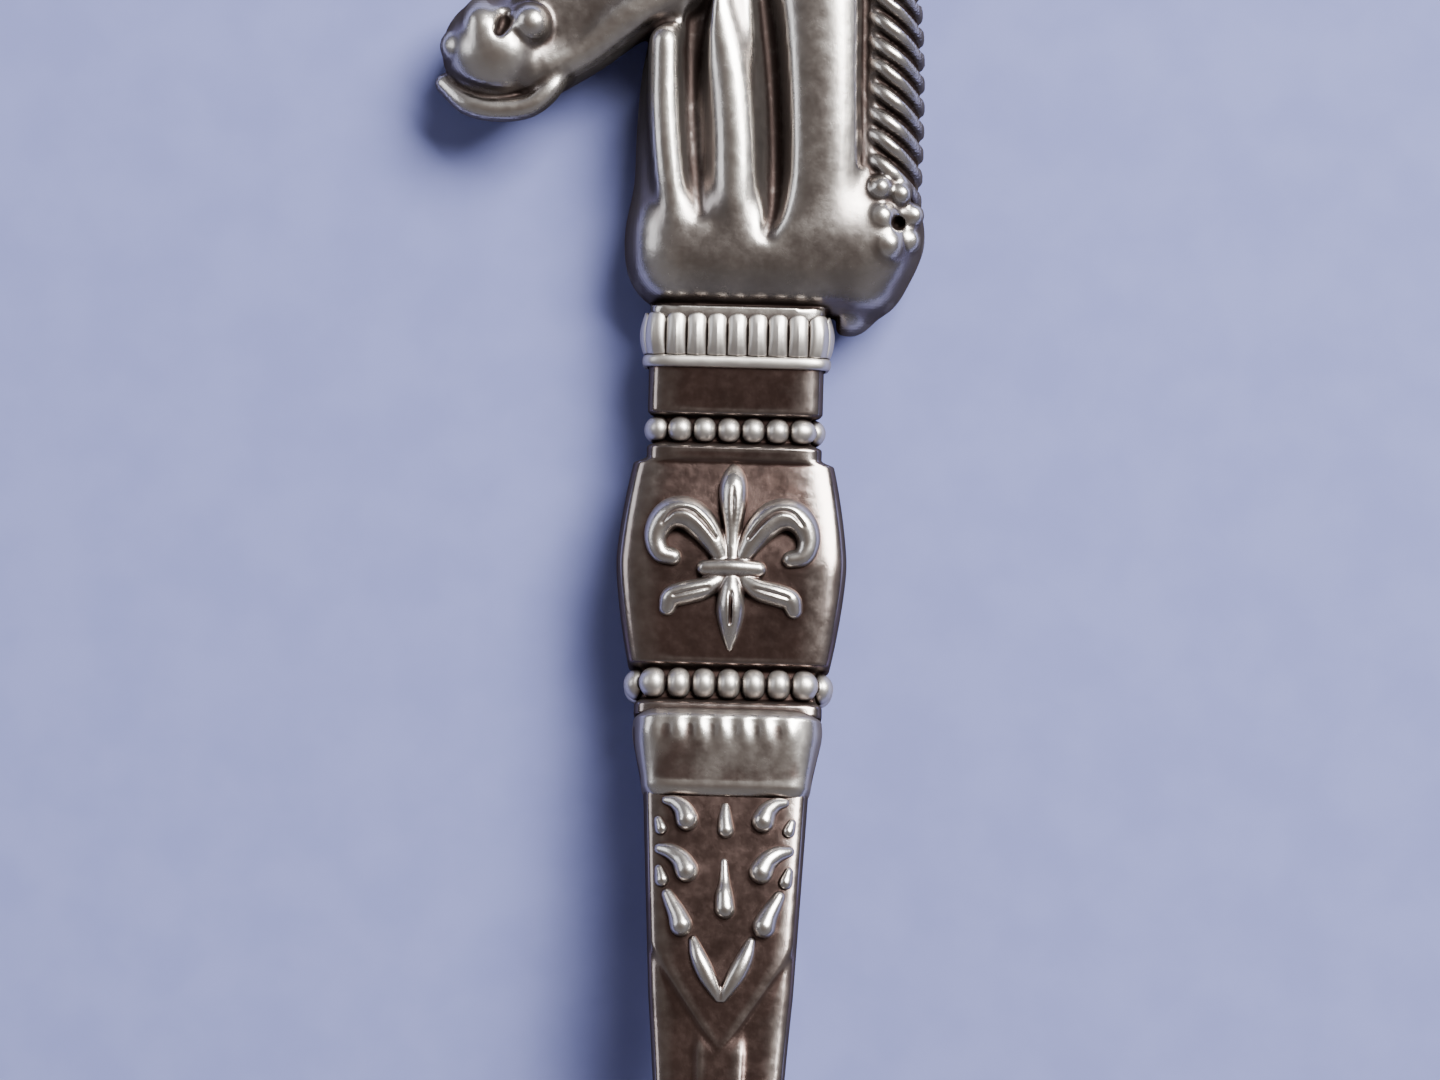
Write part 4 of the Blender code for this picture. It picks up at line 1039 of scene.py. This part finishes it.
def measure_hollows(piece, rounds, gain):
    """Stores, on each point, how deep it lies under the average of the surface round it."""
    mesh = piece.data
    count = len(mesh.vertices)
    points = np.empty(count * 3)
    mesh.vertices.foreach_get("co", points)
    points = points.reshape(-1, 3) / MM
    normals = np.empty(count * 3)
    mesh.vertices.foreach_get("normal", normals)
    normals = normals.reshape(-1, 3)
    edges = np.empty(len(mesh.edges) * 2, np.int64)
    mesh.edges.foreach_get("vertices", edges)
    a, b = edges.reshape(-1, 2).T
    degree = np.bincount(a, minlength=count) + np.bincount(b, minlength=count)
    spread = points.copy()
    for _ in range(rounds):
        for i in range(3):
            total = np.bincount(a, spread[b, i], count) + np.bincount(b, spread[a, i], count)
            spread[:, i] = total / np.maximum(degree, 1)
    depth = np.einsum("ij,ij->i", spread - points, normals)
    value = np.clip(0.5 + depth * gain, 0, 1)
    layer = mesh.attributes.new("hollow", "FLOAT", "POINT")
    layer.data.foreach_set("value", value.astype(np.float32))


# The pieces.

# Tarnish, where it is thin and where it is thick.
BROWN = ((146, 124, 118), (118, 99, 94))
GREY = ((158, 149, 145), (138, 128, 124))

silver = antique_silver("antique_silver_cast", GREY, bare=0.14, dull=0.08)
band_silver = antique_silver("antique_silver_bands", GREY, bare=1.4, sides=0.3, reach=0.4, dull=0.22)
cushion_silver = antique_silver("antique_silver_cushion", BROWN, bare=0.12, edges=2.4, sides=0.8, dull=0.08)
relief_silver = antique_silver("antique_silver_relief", BROWN, bare=0.7, sides=0.6, reach=0.8, dull=0.08)
handle_silver = antique_silver(
    "antique_silver_handle", BROWN, bare=-0.06, edges=0.35, dull=0.02, scratches=(1, 0.06, 1)
)
bowl_silver = antique_silver(
    "antique_silver_bowl", GREY, bare=0.9, sides=0.4, dull=0.03, scratches=(1, 0.08, 1)
)

figure = make_figure(silver)
collar = make_collar(band_silver)
upper_seat = (NECK[0] - BEAD_SEAT + SOLDER_GAP, NECK[1] - BEAD_SEAT + SOLDER_GAP)
lower_seat = (SHIELD_END[0] - BEAD_SEAT + SOLDER_GAP, SHIELD_END[1] - BEAD_SEAT + SOLDER_GAP)
upper_beads = make_beads("upper_bead_row", "upper_beaded_wire", UPPER_WIRE, upper_seat, 1.42, band_silver)
lower_beads = make_beads("lower_bead_row", "lower_beaded_wire", LOWER_WIRE, lower_seat, 1.5, band_silver)
cushion = make_cushion(cushion_silver)
handle = make_handle(handle_silver)
fleur = make_fleur(relief_silver)
pendant = make_pendant(relief_silver)
bowl = make_bowl(bowl_silver)
for piece, rounds, gain in (
    (figure, 14, 3.0),
    (collar, 10, 6.0),
    (upper_beads, 10, 5.0),
    (lower_beads, 10, 5.0),
    (cushion, 14, 5.0),
    (handle, 12, 5.0),
    (fleur, 10, 6.0),
    (pendant, 10, 6.0),
    (bowl, 12, 3.0),
):
    measure_hollows(piece, rounds, gain)

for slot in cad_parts["figure_peg"].material_slots:
    slot.material = peg_brass("brass_rod")


# Floor, light and camera.


def make_floor():
    """A plain pale floor, level with the table."""
    mesh = bpy.data.meshes.new("floor")
    reach = 1.2
    corners = [(-reach, -reach, 0), (reach, -reach, 0), (reach, reach, 0), (-reach, reach, 0)]
    mesh.from_pydata(corners, [], [(0, 1, 2, 3)])
    floor = bpy.data.objects.new("floor", mesh)
    bpy.context.scene.collection.objects.link(floor)
    nodes = Nodes("pale_floor")
    clouds = nodes.remap(nodes.noise(0.25), 0.3, 0.7)
    colour = nodes.mix(clouds, linear(124, 130, 187), linear(130, 136, 193))
    nodes.link(colour, nodes.shader.inputs["Base Color"])
    nodes.shader.inputs["Roughness"].default_value = 0.9
    mesh.materials.append(nodes.material)


def make_light(name, azimuth, elevation, distance, size, power, colour):
    """A softbox of size (across, up). Azimuth 0 stands it along +Y, and 90 along +X."""
    a, e = math.radians(azimuth), math.radians(elevation)
    back = Vector((math.sin(a) * math.cos(e), math.cos(a) * math.cos(e), math.sin(e)))
    light = bpy.data.lights.new(name, "AREA")
    light.shape = "RECTANGLE"
    light.size, light.size_y = size
    light.energy = power
    light.color = colour
    lamp = bpy.data.objects.new(name, light)
    lamp.location = VIEW_CENTRE + back * distance
    lamp.rotation_euler = back.to_track_quat("Z", "Y").to_euler()
    bpy.context.scene.collection.objects.link(lamp)


def make_world():
    """A room that is palest part way up, dim overhead and below, and brighter on the key light's side."""
    world = bpy.data.worlds.new("room")
    bpy.context.scene.world = world
    world.use_nodes = True
    tree = world.node_tree
    place = tree.nodes.new("ShaderNodeTexCoord")
    split = tree.nodes.new("ShaderNodeSeparateXYZ")
    ramp = tree.nodes.new("ShaderNodeValToRGB")
    tree.links.new(place.outputs["Generated"], split.inputs["Vector"])
    tree.links.new(split.outputs["Z"], ramp.inputs["Fac"])
    stops = ramp.color_ramp.elements
    stops[0].position, stops[0].color = 0.0, (0.1, 0.1, 0.12, 1)
    stops[1].position, stops[1].color = 1.0, (0.15, 0.12, 0.11, 1)
    for position, colour in (
        (0.45, (0.24, 0.23, 0.25, 1)),
        (0.8, (0.2, 0.185, 0.185, 1)),
        (0.92, (0.16, 0.135, 0.126, 1)),
    ):
        stops.new(position).color = colour
    towards = tree.nodes.new("ShaderNodeVectorMath")
    towards.operation = "DOT_PRODUCT"
    towards.inputs[1].default_value = (0.75, 0.66, 0)
    tree.links.new(place.outputs["Generated"], towards.inputs[0])
    side = tree.nodes.new("ShaderNodeMapRange")
    for socket, number in zip(RANGE_SOCKETS, (-0.6, 0.5, 0.8, 1.0)):
        side.inputs[socket].default_value = number
    tree.links.new(towards.outputs["Value"], side.inputs["Value"])
    tree.links.new(ramp.outputs["Color"], tree.nodes["Background"].inputs["Color"])
    tree.links.new(side.outputs["Result"], tree.nodes["Background"].inputs["Strength"])


VIEW_CENTRE = ORIGIN + Vector((-0.6, -11.2, 0)) * MM
VIEW_WIDTH = 72 * MM
ROLL = math.radians(1.48)


def make_camera():
    """Straight above the handle, turned a little."""
    camera = bpy.data.objects.new("camera", bpy.data.cameras.new("camera"))
    bpy.context.scene.collection.objects.link(camera)
    bpy.context.scene.camera = camera
    camera.data.lens = 80
    camera.data.clip_start = 0.005
    distance = VIEW_WIDTH * camera.data.lens / camera.data.sensor_width
    place = Matrix.Translation(VIEW_CENTRE + Vector((0, 0, distance)))
    camera.matrix_world = place @ Matrix.Rotation(ROLL, 4, "Z")


make_floor()
make_world()
make_light("key", 42, 46, 0.5, (0.34, 0.26), 7.6, (1.0, 0.99, 0.97))
make_light("fill", -70, 30, 0.6, (0.4, 0.2), 0.5, (0.9, 0.93, 1.0))
make_camera()
